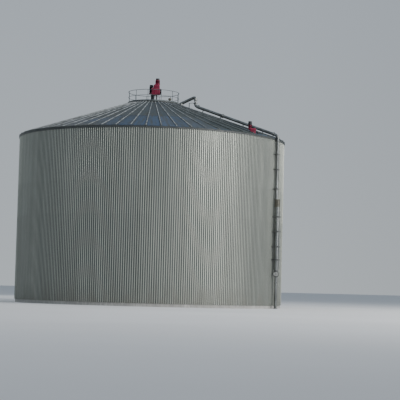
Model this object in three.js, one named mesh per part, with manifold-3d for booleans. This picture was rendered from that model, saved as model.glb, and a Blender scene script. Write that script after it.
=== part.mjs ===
// Biogas digester: an upright insulated steel tank clad in ribbed sheet, with a low ribbed cone for a roof,
// a railed platform with the agitator's drive on the crown, a second small drive by the eave, and the gas
// pipe that leaves the crown, lies along the roof and comes down the wall to a valve near the ground.
// Millimetres, +Z up. The origin is the middle of the foundation's underside. Azimuths are in degrees:
// 0 points along -Y, and they grow towards +X.

import * as THREE from "three";
import { mergeVertices } from "three/addons/utils/BufferGeometryUtils.js";
import Module from "manifold-3d";

const wasm = await Module();
wasm.setup();

// Clearance between solids that touch
const GAP = 0.3;

// Foundation and wall
const SLAB_RADIUS = 13260;
const SLAB_HEIGHT = 300;
const WALL_RADIUS = 13320;
const WALL_THICKNESS = 180;
const WALL_SEGMENTS = 8;
const WALL_SIDES = 120;
const EAVE_HEIGHT = 16400;

// Roof
const ROOF_RADIUS = 13420;
const ROOF_RIM_HEIGHT = 16550;
const APEX_HEIGHT = 21160;
const ROOF_THICKNESS = 60;
const ROOF_SECTORS = 6;
const ROOF_PANELS = 60;
const RIB_AZIMUTH = 3.3;
const RIB_WIDTH = 90;
const RIB_HEIGHT = 60;
const RIB_SINK = 25;

// Eave flashing
const FLASHING_RADIUS = 13400;
const FLASHING_DROP = 80;
const FLASHING_CLEARANCE = 35;

// Crown and platform
const CROWN_HOLE_RADIUS = 2600;
const CROWN_RADIUS = 2750;
const CROWN_TOP = 20310;
const CROWN_PLUG_DEPTH = 130;
const DECK_RADIUS = 2620;
const DECK_THICKNESS = 40;
const RAIL_RADIUS = 2560;
const RAIL_HEIGHT = 1130;
const KNEE_RAIL_HEIGHT = 580;
const RAIL_TUBE = 24;
const TOE_BOARD_HEIGHT = 110;
const TOE_BOARD_THICKNESS = 12;
const RAIL_QUARTERS = 4;
const POSTS_PER_QUARTER = 3;
const RAIL_TURN = 17;
const RAIL_SIDES = 48;

// Crown agitator drive, heights above the platform's deck
const PEDESTAL_HEIGHT = 940;
const LEG_PLACE = 295;
const LEG_SIZE = 120;
const LEG_TURN = 14;
const LEG_MARGIN = 10;
const FLANGE_THICKNESS = 40;
const SHAFT_RADIUS = 75;
const GEARBOX_LEFT = -240;
const GEARBOX_RIGHT = 600;
const GEARBOX_HEIGHT = 680;
const GEARBOX_DEPTH = 640;
const GEARBOX_CHAMFER = 40;
const BEARING_RADIUS = 310;
const BEARING_HEIGHT = 340;
const BEARING_REACH = 135;
const SHELF_HEIGHT = 240;
const SHELF_THICKNESS = 70;
const SHELF_MARGIN = 25;
const NECK_HEIGHT = 430;
const NECK_FLARE = 15;
const NECK_LEFT = -20;
const NECK_SHOULDER = 310;
const NECK_DEPTH = 430;
const MOTOR_OFFSET = 355;
const MOTOR_RADIUS = 225;
const MOTOR_HEIGHT = 400;
const COWL_RADIUS = 190;
const COWL_HEIGHT = 180;
const SIDE_MOTOR_OFFSET = -260;
const SIDE_MOTOR_BACK = 560;
const SIDE_MOTOR_RADIUS = 200;
const SIDE_MOTOR_HEIGHT = 670;
const SIDE_COWL_RADIUS = 190;

// Relief valve on the crown
const RELIEF_AZIMUTH = 59;
const RELIEF_PLACE = 1900;
const RELIEF_RADIUS = 90;
const RELIEF_FLANGE = 170;
const RELIEF_HEIGHT = 520;

// Edge agitator drive, by the eave
const EDGE_AZIMUTH = 46.9;
const EDGE_PLACE = 13080;
const EDGE_BASE_HEIGHT = 135;
const EDGE_BASE_X = [-250, 200];
const EDGE_BASE_Y = [-180, 180];
const EDGE_GEARBOX_X = [-330, 220];
const EDGE_GEARBOX_Y = [-180, 180];
const EDGE_GEARBOX_HEIGHT = 260;
const EDGE_SHELF_LEFT = -480;
const EDGE_SHELF_DEPTH = 150;
const EDGE_SHELF_THICKNESS = 80;
const EDGE_BEARING_RADIUS = 110;
const EDGE_BEARING_REACH = 40;
const EDGE_MOTOR_OFFSET = -330;
const EDGE_MOTOR_RADIUS = 160;
const EDGE_MOTOR_HEIGHT = 320;
const EDGE_COWL_RADIUS = 188;
const EDGE_COWL_HEIGHT = 358;

// Sight glass in the roof, by the rim and beside the edge drive
const SIGHT_AZIMUTH = 49.4;
const SIGHT_PLACE = 13200;
const SIGHT_RADIUS = 130;
const SIGHT_FLANGE = 178;
const SIGHT_HEIGHT = 95;
const SIGHT_DOME = 65;

// Gas pipe, in the upright plane over one roof rib
const PIPE_AZIMUTH = 63.3;
const OUTLET_RADIUS = 150;
const OUTLET_FOOT = 2980;
const OUTLET_FOOT_HEIGHT = 20230;
const OUTLET_TURN = 4360;
const OUTLET_SLOPE = 0.395;
const NOZZLE_PLACE = 3120;
const NOZZLE_RADIUS = 190;
const DROP_PLACE = 4690;
const DROP_RADIUS = 120;
const DROP_TOP = 20600;
const DROP_FOOT = 20270;
const STAY_START = 3980;
const STAY_WIDTH = 60;
const PIPE_RADIUS = 145;
const RUN_LINE_HEIGHT = 21640;
const RUN_LINE_SLOPE = 0.35768;
const PIPE_STANDOFF = 285;
const COLLAR_REACH = 65;
const RUN_START = 5080;
const RUN_END = 13180;
const RUN_FLANGES = [7700, 10700];
const SADDLE_PLACES = [5500, 7450, 9900, 12000];
const SADDLE_LENGTH = 90;
const VENT_PLACE = 5100;
const VENT_RADIUS = 42;
const VENT_HEIGHT = 270;
const BRACKET_HEIGHTS = [14940, 13470, 11570, 8870, 7440, 5980, 4720];
const BRACKET_HEIGHT = 110;
const ARM_WIDTH = 50;
const ARM_REACH = 50;
const CHANNEL_LENGTH = 840;
const CHANNEL_SIZE = 60;
const LOWER_RADIUS = 235;
const LOWER_STANDOFF = 385;
const JOINT_HEIGHT = 10200;
const JOINT_LENGTH = 720;
const JOINT_RADIUS = 240;
const JOINT_RING_RADIUS = 285;
const JOINT_RING_THICKNESS = 60;
const VALVE_HEIGHT = 3340;
const VALVE_LENGTH = 420;
const VALVE_SWELL = 25;
const HANDWHEEL_RADIUS = 280;
const HANDWHEEL_TUBE = 25;
const HANDWHEEL_REACH = 330;
const HANDWHEEL_TURN = 20;
const BONNET_RADIUS = 190;
const BONNET_FRONT = 250;
const FOOT_COLLAR = 30;
const PIPE_SIDES = 12;
const BEND_STEPS = 7;
const STRAIGHT_END = 50;

const ROOF_SLOPE = (APEX_HEIGHT - ROOF_RIM_HEIGHT) / ROOF_RADIUS;
const ROOF_ANGLE = Math.atan(ROOF_SLOPE);
const RUN_ANGLE = Math.atan(RUN_LINE_SLOPE);
const DECK_TOP = CROWN_TOP + GAP + DECK_THICKNESS;

const roofHeight = (radius) => APEX_HEIGHT - ROOF_SLOPE * radius;
const radians = (degrees) => (degrees * Math.PI) / 180;

// Finishes
const finish = (color, roughness, metalness) =>
  new THREE.MeshStandardMaterial({ color, roughness, metalness });
const CONCRETE = finish("#9a9790", 0.95, 0);
const CLADDING = finish("#9ba09b", 0.45, 0.6);
const ROOF_SHEET = finish("#56636c", 0.4, 0.5);
const FLASHING = finish("#2f3838", 0.6, 0.4);
const GALVANISED = finish("#8f9a99", 0.5, 0.8);
const STAINLESS = finish("#a7aca8", 0.35, 0.9);
const RED_PAINT = finish("#a3283c", 0.45, 0.1);
const DARK_PAINT = finish("#2b2a30", 0.6, 0.1);
const BRASS_BROWN = finish("#77705a", 0.5, 0.7);

// A closed geometry as a solid that can be joined and cut
function solid(geometry) {
  const bare = geometry.index ? geometry.toNonIndexed() : geometry.clone();
  bare.deleteAttribute("normal");
  bare.deleteAttribute("uv");
  const merged = mergeVertices(bare, 1e-3);
  return new wasm.Manifold(
    new wasm.Mesh({
      numProp: 3,
      vertProperties: merged.attributes.position.array,
      triVerts: new Uint32Array(merged.index.array),
    }),
  );
}

function join(...geometries) {
  return geometries.map(solid).reduce((whole, piece) => whole.add(piece));
}

function geometryOf(shape) {
  if (shape.isBufferGeometry) return shape;
  const mesh = shape.getMesh();
  return new THREE.BufferGeometry()
    .setAttribute("position", new THREE.BufferAttribute(mesh.vertProperties, 3))
    .setIndex(new THREE.BufferAttribute(mesh.triVerts, 1));
}

// A ring or disc from its outline of [radius, height] points, counter-clockwise with the axis on the left
function revolved(outline, sides, azimuth = 0) {
  const closed = outline[0][0] > 0 ? [...outline, outline[0]] : outline;
  const points = closed.map(([radius, height]) => new THREE.Vector2(radius, height));
  return new THREE.LatheGeometry(points, sides, radians(azimuth)).rotateX(Math.PI / 2);
}

// What lies between two azimuths, short of each by half the clearance
function sector(shape, from, to) {
  const half = radians(to - from) / 2;
  const reach = 2 * ROOF_RADIUS;
  const wedge = new THREE.Shape();
  wedge.moveTo(0, 0);
  wedge.lineTo(reach * Math.cos(half), -reach * Math.sin(half));
  wedge.lineTo(reach * Math.cos(half), reach * Math.sin(half));
  const cutter = new THREE.ExtrudeGeometry(wedge, { depth: 2 * APEX_HEIGHT, bevelEnabled: false })
    .translate(GAP / 2 / Math.sin(half), 0, -APEX_HEIGHT / 2)
    .rotateZ(radians((from + to) / 2 - 90));
  return shape.intersect(solid(cutter));
}

// An upright drum on the local Z axis
function drum(radius, bottom, top, sides = 20) {
  return new THREE.CylinderGeometry(radius, radius, top - bottom, sides)
    .rotateX(Math.PI / 2)
    .translate(0, 0, (bottom + top) / 2);
}

// A drum along the local X axis
function lyingDrum(radius, start, end, sides = 20) {
  return new THREE.CylinderGeometry(radius, radius, end - start, sides)
    .rotateZ(Math.PI / 2)
    .translate((start + end) / 2, 0, 0);
}

function block(x, y, z) {
  return new THREE.BoxGeometry(x[1] - x[0], y[1] - y[0], z[1] - z[0]).translate(
    (x[0] + x[1]) / 2,
    (y[0] + y[1]) / 2,
    (z[0] + z[1]) / 2,
  );
}

// A pipe's centreline as knots in the local XZ plane: one step for a straight run, several round a bend
class Route extends THREE.Curve {
  constructor(knots) {
    super();
    this.knots = knots;
  }

  getPointAt(share) {
    return this.knots[Math.round(share * (this.knots.length - 1))].clone();
  }

  getTangentAt(share) {
    const last = this.knots.length - 1;
    const index = Math.round(share * last);
    const before = this.heading(Math.max(index - 1, 0));
    const after = this.heading(Math.min(index, last - 1));
    return before.add(after).normalize();
  }

  heading(index) {
    return this.knots[index + 1].clone().sub(this.knots[index]).normalize();
  }
}

const at = (radius, height) => new THREE.Vector3(radius, 0, height);
const bend = (from, corner, to) => new THREE.QuadraticBezierCurve3(from, corner, to).getPoints(BEND_STEPS);

function pipe(knots, radius) {
  const section = new THREE.Shape();
  for (let i = 0; i < PIPE_SIDES; i += 1) {
    const turn = (2 * Math.PI * i) / PIPE_SIDES;
    section[i ? "lineTo" : "moveTo"](radius * Math.cos(turn), radius * Math.sin(turn));
  }
  return new THREE.ExtrudeGeometry(section, { steps: knots.length - 1, extrudePath: new Route(knots) });
}

const digester = new THREE.Group();

function add(name, shape, material, parent = digester) {
  const mesh = new THREE.Mesh(geometryOf(shape), material);
  mesh.name = name;
  parent.add(mesh);
  return mesh;
}

// A group whose local X points outwards at an azimuth
function standing(azimuth, radius = 0, height = 0) {
  const group = new THREE.Group();
  const turn = radians(azimuth - 90);
  group.rotation.z = turn;
  group.position.set(radius * Math.cos(turn), radius * Math.sin(turn), height);
  digester.add(group);
  return group;
}

const numbered = (name, index) => `${name}_${String(index + 1).padStart(2, "0")}`;

// Foundation slab: cast concrete, just inside the cladding's drip edge
add(
  "foundation_slab",
  revolved(
    [
      [0, 0],
      [SLAB_RADIUS, 0],
      [SLAB_RADIUS, SLAB_HEIGHT],
      [0, SLAB_HEIGHT],
    ],
    WALL_SIDES,
    RIB_AZIMUTH,
  ),
  CONCRETE,
);

// Wall: steel shell, insulation and cladding as one thickness, in upright segments
const wallRing = solid(
  revolved(
    [
      [WALL_RADIUS - WALL_THICKNESS, SLAB_HEIGHT + GAP],
      [WALL_RADIUS, SLAB_HEIGHT + GAP],
      [WALL_RADIUS, EAVE_HEIGHT],
      [WALL_RADIUS - WALL_THICKNESS, EAVE_HEIGHT],
    ],
    WALL_SIDES,
    RIB_AZIMUTH,
  ),
);
const seamAzimuth = RIB_AZIMUTH - 180 / ROOF_PANELS;
for (let i = 0; i < WALL_SEGMENTS; i += 1) {
  const from = seamAzimuth + (360 / WALL_SEGMENTS) * i;
  add(numbered("wall_segment", i), sector(wallRing, from, from + 360 / WALL_SEGMENTS), CLADDING);
}

// Eave flashing: a curb on top of the wall that the roof rests on, with a skirt down over the cladding
const wallInside = WALL_RADIUS - WALL_THICKNESS;
const underRoof = (radius) => roofHeight(radius) - ROOF_THICKNESS - GAP;
const skirtInside = WALL_RADIUS + FLASHING_CLEARANCE;
add(
  "eave_flashing",
  revolved(
    [
      [wallInside, EAVE_HEIGHT + GAP],
      [skirtInside, EAVE_HEIGHT + GAP],
      [skirtInside, EAVE_HEIGHT - FLASHING_DROP],
      [FLASHING_RADIUS, EAVE_HEIGHT - FLASHING_DROP],
      [FLASHING_RADIUS, underRoof(FLASHING_RADIUS)],
      [wallInside, underRoof(wallInside)],
    ],
    ROOF_PANELS,
    RIB_AZIMUTH,
  ),
  FLASHING,
);

// Roof: flat panels between radial ribs, in sectors
const roofCone = solid(
  revolved(
    [
      [CROWN_HOLE_RADIUS, roofHeight(CROWN_HOLE_RADIUS) - ROOF_THICKNESS],
      [ROOF_RADIUS, ROOF_RIM_HEIGHT - ROOF_THICKNESS],
      [ROOF_RADIUS, ROOF_RIM_HEIGHT],
      [CROWN_HOLE_RADIUS, roofHeight(CROWN_HOLE_RADIUS)],
    ],
    ROOF_PANELS,
    RIB_AZIMUTH,
  ),
);
const ribStart = CROWN_RADIUS + 2 * RIB_SINK;
const ribEnd = ROOF_RADIUS - RIB_SINK;
function rib(azimuth, clearance = 0) {
  const middle = (ribStart + ribEnd) / 2;
  const length = (ribEnd - ribStart) / Math.cos(ROOF_ANGLE) + 2 * clearance;
  return new THREE.BoxGeometry(length, RIB_WIDTH + 2 * clearance, RIB_HEIGHT + RIB_SINK + 2 * clearance)
    .translate(0, 0, (RIB_HEIGHT - RIB_SINK) / 2)
    .rotateY(ROOF_ANGLE)
    .translate(middle, 0, roofHeight(middle))
    .rotateZ(radians(azimuth - 90));
}
const ribStep = 360 / ROOF_PANELS;
const ribsPerSector = ROOF_PANELS / ROOF_SECTORS;
for (let i = 0; i < ROOF_SECTORS; i += 1) {
  const from = seamAzimuth + (360 / ROOF_SECTORS) * i;
  let plates = sector(roofCone, from, from + 360 / ROOF_SECTORS);
  for (let n = 0; n < ribsPerSector; n += 1) {
    plates = plates.add(solid(rib(from + ribStep * (n + 0.5))));
  }
  add(numbered("roof_sector", i), plates, ROOF_SHEET);
}

// Crown: a flat cover whose flange lies on the panels and whose plug fills the hole between them
const plugRadius = CROWN_HOLE_RADIUS - 10;
add(
  "crown_cover",
  revolved(
    [
      [0, CROWN_TOP - CROWN_PLUG_DEPTH],
      [plugRadius, CROWN_TOP - CROWN_PLUG_DEPTH],
      [plugRadius, roofHeight(plugRadius) + GAP],
      [CROWN_RADIUS, roofHeight(CROWN_RADIUS) + GAP],
      [CROWN_RADIUS, CROWN_TOP],
      [0, CROWN_TOP],
    ],
    ROOF_PANELS,
    RIB_AZIMUTH,
  ),
  FLASHING,
);

// Platform deck
add(
  "platform_deck",
  revolved(
    [
      [0, CROWN_TOP + GAP],
      [DECK_RADIUS, CROWN_TOP + GAP],
      [DECK_RADIUS, DECK_TOP],
      [0, DECK_TOP],
    ],
    48,
  ),
  GALVANISED,
);

// Guard rail: top rail, knee rail, toe board and posts, in four quarters
function hoop(radius, height, thickness, sides = 6) {
  const outline = [];
  for (let i = 0; i < sides; i += 1) {
    const turn = (2 * Math.PI * (i + 0.5)) / sides;
    outline.push([radius + thickness * Math.cos(turn), height + thickness * Math.sin(turn)]);
  }
  return revolved(outline, RAIL_SIDES);
}
const railBottom = DECK_TOP + GAP;
const railRings = join(
  hoop(RAIL_RADIUS, DECK_TOP + RAIL_HEIGHT, RAIL_TUBE),
  hoop(RAIL_RADIUS, DECK_TOP + KNEE_RAIL_HEIGHT, RAIL_TUBE),
  revolved(
    [
      [RAIL_RADIUS + RAIL_TUBE - TOE_BOARD_THICKNESS, railBottom],
      [RAIL_RADIUS + RAIL_TUBE, railBottom],
      [RAIL_RADIUS + RAIL_TUBE, railBottom + TOE_BOARD_HEIGHT],
      [RAIL_RADIUS + RAIL_TUBE - TOE_BOARD_THICKNESS, railBottom + TOE_BOARD_HEIGHT],
    ],
    RAIL_SIDES,
  ),
);
const postStep = 360 / RAIL_QUARTERS / POSTS_PER_QUARTER;
for (let i = 0; i < RAIL_QUARTERS; i += 1) {
  const from = RAIL_TURN + (360 / RAIL_QUARTERS) * i - postStep / 2;
  let rail = sector(railRings, from, from + 360 / RAIL_QUARTERS);
  for (let n = 0; n < POSTS_PER_QUARTER; n += 1) {
    const post = drum(RAIL_TUBE, railBottom, DECK_TOP + RAIL_HEIGHT, 6)
      .translate(RAIL_RADIUS, 0, 0)
      .rotateZ(radians(from + postStep * (n + 0.5) - 90));
    rail = rail.add(solid(post));
  }
  add(numbered("guard_rail", i), rail, GALVANISED);
}

// Crown agitator drive: a three-legged pedestal, the shaft inside it, the gearbox and two upright motors
const drive = new THREE.Group();
drive.position.set(0, 0, DECK_TOP + GAP);
digester.add(drive);

const legs = [0, 120, 240].map((turn) =>
  block([-LEG_SIZE / 2, LEG_SIZE / 2], [-LEG_SIZE / 2, LEG_SIZE / 2], [0, PEDESTAL_HEIGHT])
    .translate(LEG_PLACE, 0, 0)
    .rotateZ(radians(LEG_TURN + turn)),
);
const flangeRadius = LEG_PLACE + LEG_SIZE / 2 + LEG_MARGIN;
const footRing = solid(drum(flangeRadius, 0, FLANGE_THICKNESS, 24));
const headRing = solid(drum(flangeRadius, PEDESTAL_HEIGHT - FLANGE_THICKNESS, PEDESTAL_HEIGHT, 24));
const shaftHole = solid(drum(SHAFT_RADIUS + GAP, -1, PEDESTAL_HEIGHT + 1, 16));
add(
  "agitator_pedestal",
  join(...legs)
    .add(footRing)
    .add(headRing)
    .subtract(shaftHole),
  DARK_PAINT,
  drive,
);
add("agitator_shaft", drum(SHAFT_RADIUS, 0, PEDESTAL_HEIGHT, 16), STAINLESS, drive);

const gearboxBottom = PEDESTAL_HEIGHT + GAP;
const gearboxTop = gearboxBottom + GEARBOX_HEIGHT;
const neckTop = gearboxTop + NECK_HEIGHT;
const neckFoot = gearboxTop - GEARBOX_CHAMFER;
const shelfTop = gearboxBottom + SHELF_HEIGHT;
const casing = new THREE.Shape();
casing.moveTo(GEARBOX_LEFT, gearboxBottom);
casing.lineTo(GEARBOX_RIGHT - GEARBOX_CHAMFER, gearboxBottom);
casing.lineTo(GEARBOX_RIGHT, gearboxBottom + GEARBOX_CHAMFER);
casing.lineTo(GEARBOX_RIGHT, gearboxTop - GEARBOX_CHAMFER);
casing.lineTo(GEARBOX_RIGHT - GEARBOX_CHAMFER, gearboxTop);
casing.lineTo(GEARBOX_LEFT + GEARBOX_CHAMFER, gearboxTop);
casing.lineTo(GEARBOX_LEFT, gearboxTop - GEARBOX_CHAMFER);
const neck = new THREE.Shape();
neck.moveTo(NECK_LEFT, neckFoot);
neck.lineTo(MOTOR_OFFSET + MOTOR_RADIUS + NECK_FLARE, neckFoot);
neck.lineTo(MOTOR_OFFSET + MOTOR_RADIUS, neckTop);
neck.lineTo(MOTOR_OFFSET - MOTOR_RADIUS - NECK_FLARE, neckTop);
neck.lineTo(NECK_LEFT, gearboxTop + NECK_SHOULDER);
const extruded = (outline, depth) =>
  new THREE.ExtrudeGeometry(outline, { depth, bevelEnabled: false })
    .rotateX(Math.PI / 2)
    .translate(0, depth / 2, 0);
const shelfReach = SIDE_MOTOR_RADIUS + SHELF_MARGIN;
const shelf = block(
  [SIDE_MOTOR_OFFSET - shelfReach, SIDE_MOTOR_OFFSET + shelfReach],
  [0, SIDE_MOTOR_BACK + shelfReach],
  [shelfTop - SHELF_THICKNESS, shelfTop],
);
add(
  "agitator_gearbox",
  join(
    extruded(casing, GEARBOX_DEPTH),
    extruded(neck, NECK_DEPTH),
    lyingDrum(BEARING_RADIUS, MOTOR_OFFSET, GEARBOX_RIGHT + BEARING_REACH).translate(
      0,
      0,
      gearboxBottom + BEARING_HEIGHT,
    ),
    shelf,
  ),
  RED_PAINT,
  drive,
);

// An upright motor with its flange and terminal box, and the fan cowl on top
function motor(name, cowlName, radius, bottom, height, cowlRadius, [x, y], boxSide, paint) {
  const place = (geometry) => geometry.translate(x, y, 0);
  const top = bottom + height;
  const boxDepth = 0.45 * radius;
  const box = block(
    [0, radius + boxDepth],
    [-0.45 * radius, 0.45 * radius],
    [bottom + 0.35 * height, bottom + 0.7 * height],
  ).rotateZ(radians(boxSide));
  add(
    name,
    join(
      place(drum(radius, bottom, top, 20)),
      place(drum(1.12 * radius, bottom, bottom + FLANGE_THICKNESS, 20)),
      place(box),
    ),
    paint,
    drive,
  );
  add(cowlName, place(drum(cowlRadius, top + GAP, top + COWL_HEIGHT, 20)), DARK_PAINT, drive);
}
motor(
  "agitator_motor",
  "agitator_motor_cowl",
  MOTOR_RADIUS,
  neckTop + GAP,
  MOTOR_HEIGHT,
  COWL_RADIUS,
  [MOTOR_OFFSET, 0],
  90,
  RED_PAINT,
);
motor(
  "side_motor",
  "side_motor_cowl",
  SIDE_MOTOR_RADIUS,
  shelfTop + GAP,
  SIDE_MOTOR_HEIGHT,
  SIDE_COWL_RADIUS,
  [SIDE_MOTOR_OFFSET, SIDE_MOTOR_BACK],
  90,
  DARK_PAINT,
);

// Relief valve on the crown, inside the rail on the pipe's side
const relief = standing(RELIEF_AZIMUTH, RELIEF_PLACE, DECK_TOP + GAP);
add(
  "relief_valve",
  join(
    drum(RELIEF_RADIUS, 0, RELIEF_HEIGHT, 16),
    drum(RELIEF_FLANGE, 0, FLANGE_THICKNESS, 16),
    drum(RELIEF_FLANGE, 0.75 * RELIEF_HEIGHT, RELIEF_HEIGHT, 16),
  ),
  BRASS_BROWN,
  relief,
);

// The space over the roof panels, which gives each foot on the roof its slanted underside
const overRoof = solid(
  revolved(
    [
      [0, APEX_HEIGHT + GAP],
      [ROOF_RADIUS, ROOF_RIM_HEIGHT + GAP],
      [ROOF_RADIUS, 2 * APEX_HEIGHT],
      [0, 2 * APEX_HEIGHT],
    ],
    ROOF_PANELS,
    RIB_AZIMUTH,
  ),
);
const pipeRib = solid(rib(PIPE_AZIMUTH, GAP));
function onRoof(geometry, azimuth) {
  return solid(geometry.clone().rotateZ(radians(azimuth - 90)))
    .intersect(overRoof)
    .subtract(pipeRib);
}

// Edge agitator drive: a wedge on a roof panel, a gearbox on it with a shelf, and an upright motor
const edgeFoot = roofHeight(EDGE_PLACE);
const edgeTop = edgeFoot + EDGE_BASE_HEIGHT;
const edgeUnder = ROOF_RIM_HEIGHT - ROOF_THICKNESS;
const edgeAcross = radians(90 - EDGE_AZIMUTH);
const edgeWedge = block(EDGE_BASE_X, EDGE_BASE_Y, [edgeUnder, edgeTop]).rotateZ(edgeAcross);
add("edge_drive_base", onRoof(edgeWedge.translate(EDGE_PLACE, 0, 0), EDGE_AZIMUTH), RED_PAINT);
const edge = standing(EDGE_AZIMUTH, EDGE_PLACE, edgeTop + GAP);
edge.rotation.z += edgeAcross;
const edgeMotorTop = EDGE_GEARBOX_HEIGHT + EDGE_MOTOR_HEIGHT;
const edgeShelf = block(
  [EDGE_SHELF_LEFT, 0],
  [-EDGE_SHELF_DEPTH, EDGE_SHELF_DEPTH],
  [EDGE_GEARBOX_HEIGHT - EDGE_SHELF_THICKNESS, EDGE_GEARBOX_HEIGHT],
);
add(
  "edge_drive_gearbox",
  join(
    block(EDGE_GEARBOX_X, EDGE_GEARBOX_Y, [0, EDGE_GEARBOX_HEIGHT]),
    edgeShelf,
    lyingDrum(EDGE_BEARING_RADIUS, 0, EDGE_GEARBOX_X[1] + EDGE_BEARING_REACH).translate(
      0,
      0,
      EDGE_GEARBOX_HEIGHT / 2,
    ),
  ),
  RED_PAINT,
  edge,
);
add(
  "edge_drive_motor",
  drum(EDGE_MOTOR_RADIUS, EDGE_GEARBOX_HEIGHT + GAP, edgeMotorTop).translate(EDGE_MOTOR_OFFSET, 0, 0),
  RED_PAINT,
  edge,
);
const edgeCowl = drum(EDGE_COWL_RADIUS, edgeMotorTop + GAP, edgeMotorTop + EDGE_COWL_HEIGHT);
add("edge_drive_cowl", edgeCowl.translate(EDGE_MOTOR_OFFSET, 0, 0), DARK_PAINT, edge);

// Sight glass: a stub on the roof panel with a flange and a low domed cover
const sightTop = roofHeight(SIGHT_PLACE) + SIGHT_HEIGHT;
const sightUnder = roofHeight(SIGHT_PLACE + SIGHT_RADIUS) - ROOF_THICKNESS;
const sightDome = revolved(
  [
    [0, sightTop - GAP],
    [SIGHT_RADIUS, sightTop - GAP],
    [0.8 * SIGHT_RADIUS, sightTop + 0.6 * SIGHT_DOME],
    [0.4 * SIGHT_RADIUS, sightTop + 0.92 * SIGHT_DOME],
    [0, sightTop + SIGHT_DOME],
  ],
  16,
);
add(
  "sight_glass",
  onRoof(
    geometryOf(
      join(
        drum(SIGHT_RADIUS, sightUnder, sightTop, 16),
        drum(SIGHT_FLANGE, sightTop - FLANGE_THICKNESS, sightTop, 16),
        sightDome,
      ).translate([SIGHT_PLACE, 0, 0]),
    ),
    SIGHT_AZIMUTH,
  ),
  DARK_PAINT,
);

// Gas outlet: a pipe that rises out of the roof by the crown and turns down at its top
const line = standing(PIPE_AZIMUTH);
const outletHeight = (radius) => OUTLET_FOOT_HEIGHT + OUTLET_SLOPE * (radius - OUTLET_FOOT);
const onOutlet = (radius) => at(radius, outletHeight(radius));
const outletKnots = [
  onOutlet(OUTLET_FOOT),
  ...bend(onOutlet(OUTLET_TURN), onOutlet(DROP_PLACE), at(DROP_PLACE, DROP_TOP + STRAIGHT_END)),
  at(DROP_PLACE, DROP_TOP),
];
const nozzle = drum(NOZZLE_RADIUS, roofHeight(NOZZLE_PLACE) - NOZZLE_RADIUS, outletHeight(NOZZLE_PLACE));
const outlet = join(pipe(outletKnots, OUTLET_RADIUS), nozzle.translate(NOZZLE_PLACE, 0, 0));
add("gas_outlet_pipe", onRoof(geometryOf(outlet), PIPE_AZIMUTH), STAINLESS);

// Drop leg between two flanges, with a stay on a post that stands on the roof's rib
const collar = (radius, bottom, top) => drum(radius + COLLAR_REACH, bottom, top, 16);
const ribTop = (RIB_HEIGHT + GAP) / Math.cos(ROOF_ANGLE);
const overRib = solid(
  new THREE.BoxGeometry(2 * ROOF_RADIUS, 2 * RIB_WIDTH, 2000)
    .translate(0, 0, 1000)
    .rotateY(ROOF_ANGLE)
    .translate(ROOF_RADIUS / 2, 0, roofHeight(ROOF_RADIUS / 2) + ribTop),
);
const stayTop = DROP_FOOT + FLANGE_THICKNESS;
const stayPost = block(
  [STAY_START, STAY_START + STAY_WIDTH],
  [-STAY_WIDTH / 2, STAY_WIDTH / 2],
  [roofHeight(STAY_START + STAY_WIDTH), stayTop],
);
const stayBar = block([STAY_START, DROP_PLACE], [-STAY_WIDTH / 2, STAY_WIDTH / 2], [DROP_FOOT, stayTop]);
add(
  "gas_drop_leg",
  join(
    drum(DROP_RADIUS, DROP_FOOT, DROP_TOP - GAP, PIPE_SIDES).translate(DROP_PLACE, 0, 0),
    collar(DROP_RADIUS, DROP_TOP - GAP - FLANGE_THICKNESS, DROP_TOP - GAP).translate(DROP_PLACE, 0, 0),
    collar(DROP_RADIUS, DROP_FOOT, stayTop).translate(DROP_PLACE, 0, 0),
  ).add(join(stayBar, stayPost).intersect(overRib)),
  STAINLESS,
  line,
);

// Roof run: along the rib on saddles that stand on it, with flanges and a vent where it starts
const pipeHeight = (radius) => RUN_LINE_HEIGHT - RUN_LINE_SLOPE * radius;
const onLine = (radius) => at(radius, pipeHeight(radius));
const runTop = DROP_FOOT - GAP;
const runKnots = [
  at(DROP_PLACE, runTop),
  ...bend(at(DROP_PLACE, runTop - STRAIGHT_END), onLine(DROP_PLACE), onLine(RUN_START)),
  onLine(RUN_END),
];
let run = solid(pipe(runKnots, PIPE_RADIUS));
for (const radius of SADDLE_PLACES) {
  const saddle = block(
    [radius - SADDLE_LENGTH / 2, radius + SADDLE_LENGTH / 2],
    [-RIB_WIDTH / 2, RIB_WIDTH / 2],
    [roofHeight(radius + SADDLE_LENGTH), pipeHeight(radius)],
  );
  run = run.add(solid(saddle).intersect(overRib));
}
for (const radius of RUN_FLANGES) {
  const flange = lyingDrum(PIPE_RADIUS + COLLAR_REACH, -FLANGE_THICKNESS, FLANGE_THICKNESS, 16)
    .rotateY(RUN_ANGLE)
    .translate(radius, 0, pipeHeight(radius));
  run = run.add(solid(flange));
}
const ventTop = pipeHeight(VENT_PLACE) + VENT_HEIGHT;
const vent = join(
  drum(VENT_RADIUS, pipeHeight(VENT_PLACE), ventTop, 10),
  drum(2 * VENT_RADIUS, ventTop - 2 * VENT_RADIUS, ventTop, 10),
).translate([VENT_PLACE, 0, 0]);
add("roof_pipe", run.add(vent), STAINLESS, line);

// Eave bend: over the flashing and down to the first flange of the downpipe
const downRadius = WALL_RADIUS + PIPE_STANDOFF;
const elbowFoot = EAVE_HEIGHT + 120;
const elbowEnd = EAVE_HEIGHT - 150;
const elbowKnots = [
  onLine(RUN_END + GAP),
  ...bend(onLine(RUN_END + STRAIGHT_END), onLine(downRadius), at(downRadius, elbowFoot)),
  at(downRadius, elbowEnd),
];
add("eave_elbow", pipe(elbowKnots, PIPE_RADIUS), STAINLESS, line);

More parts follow.
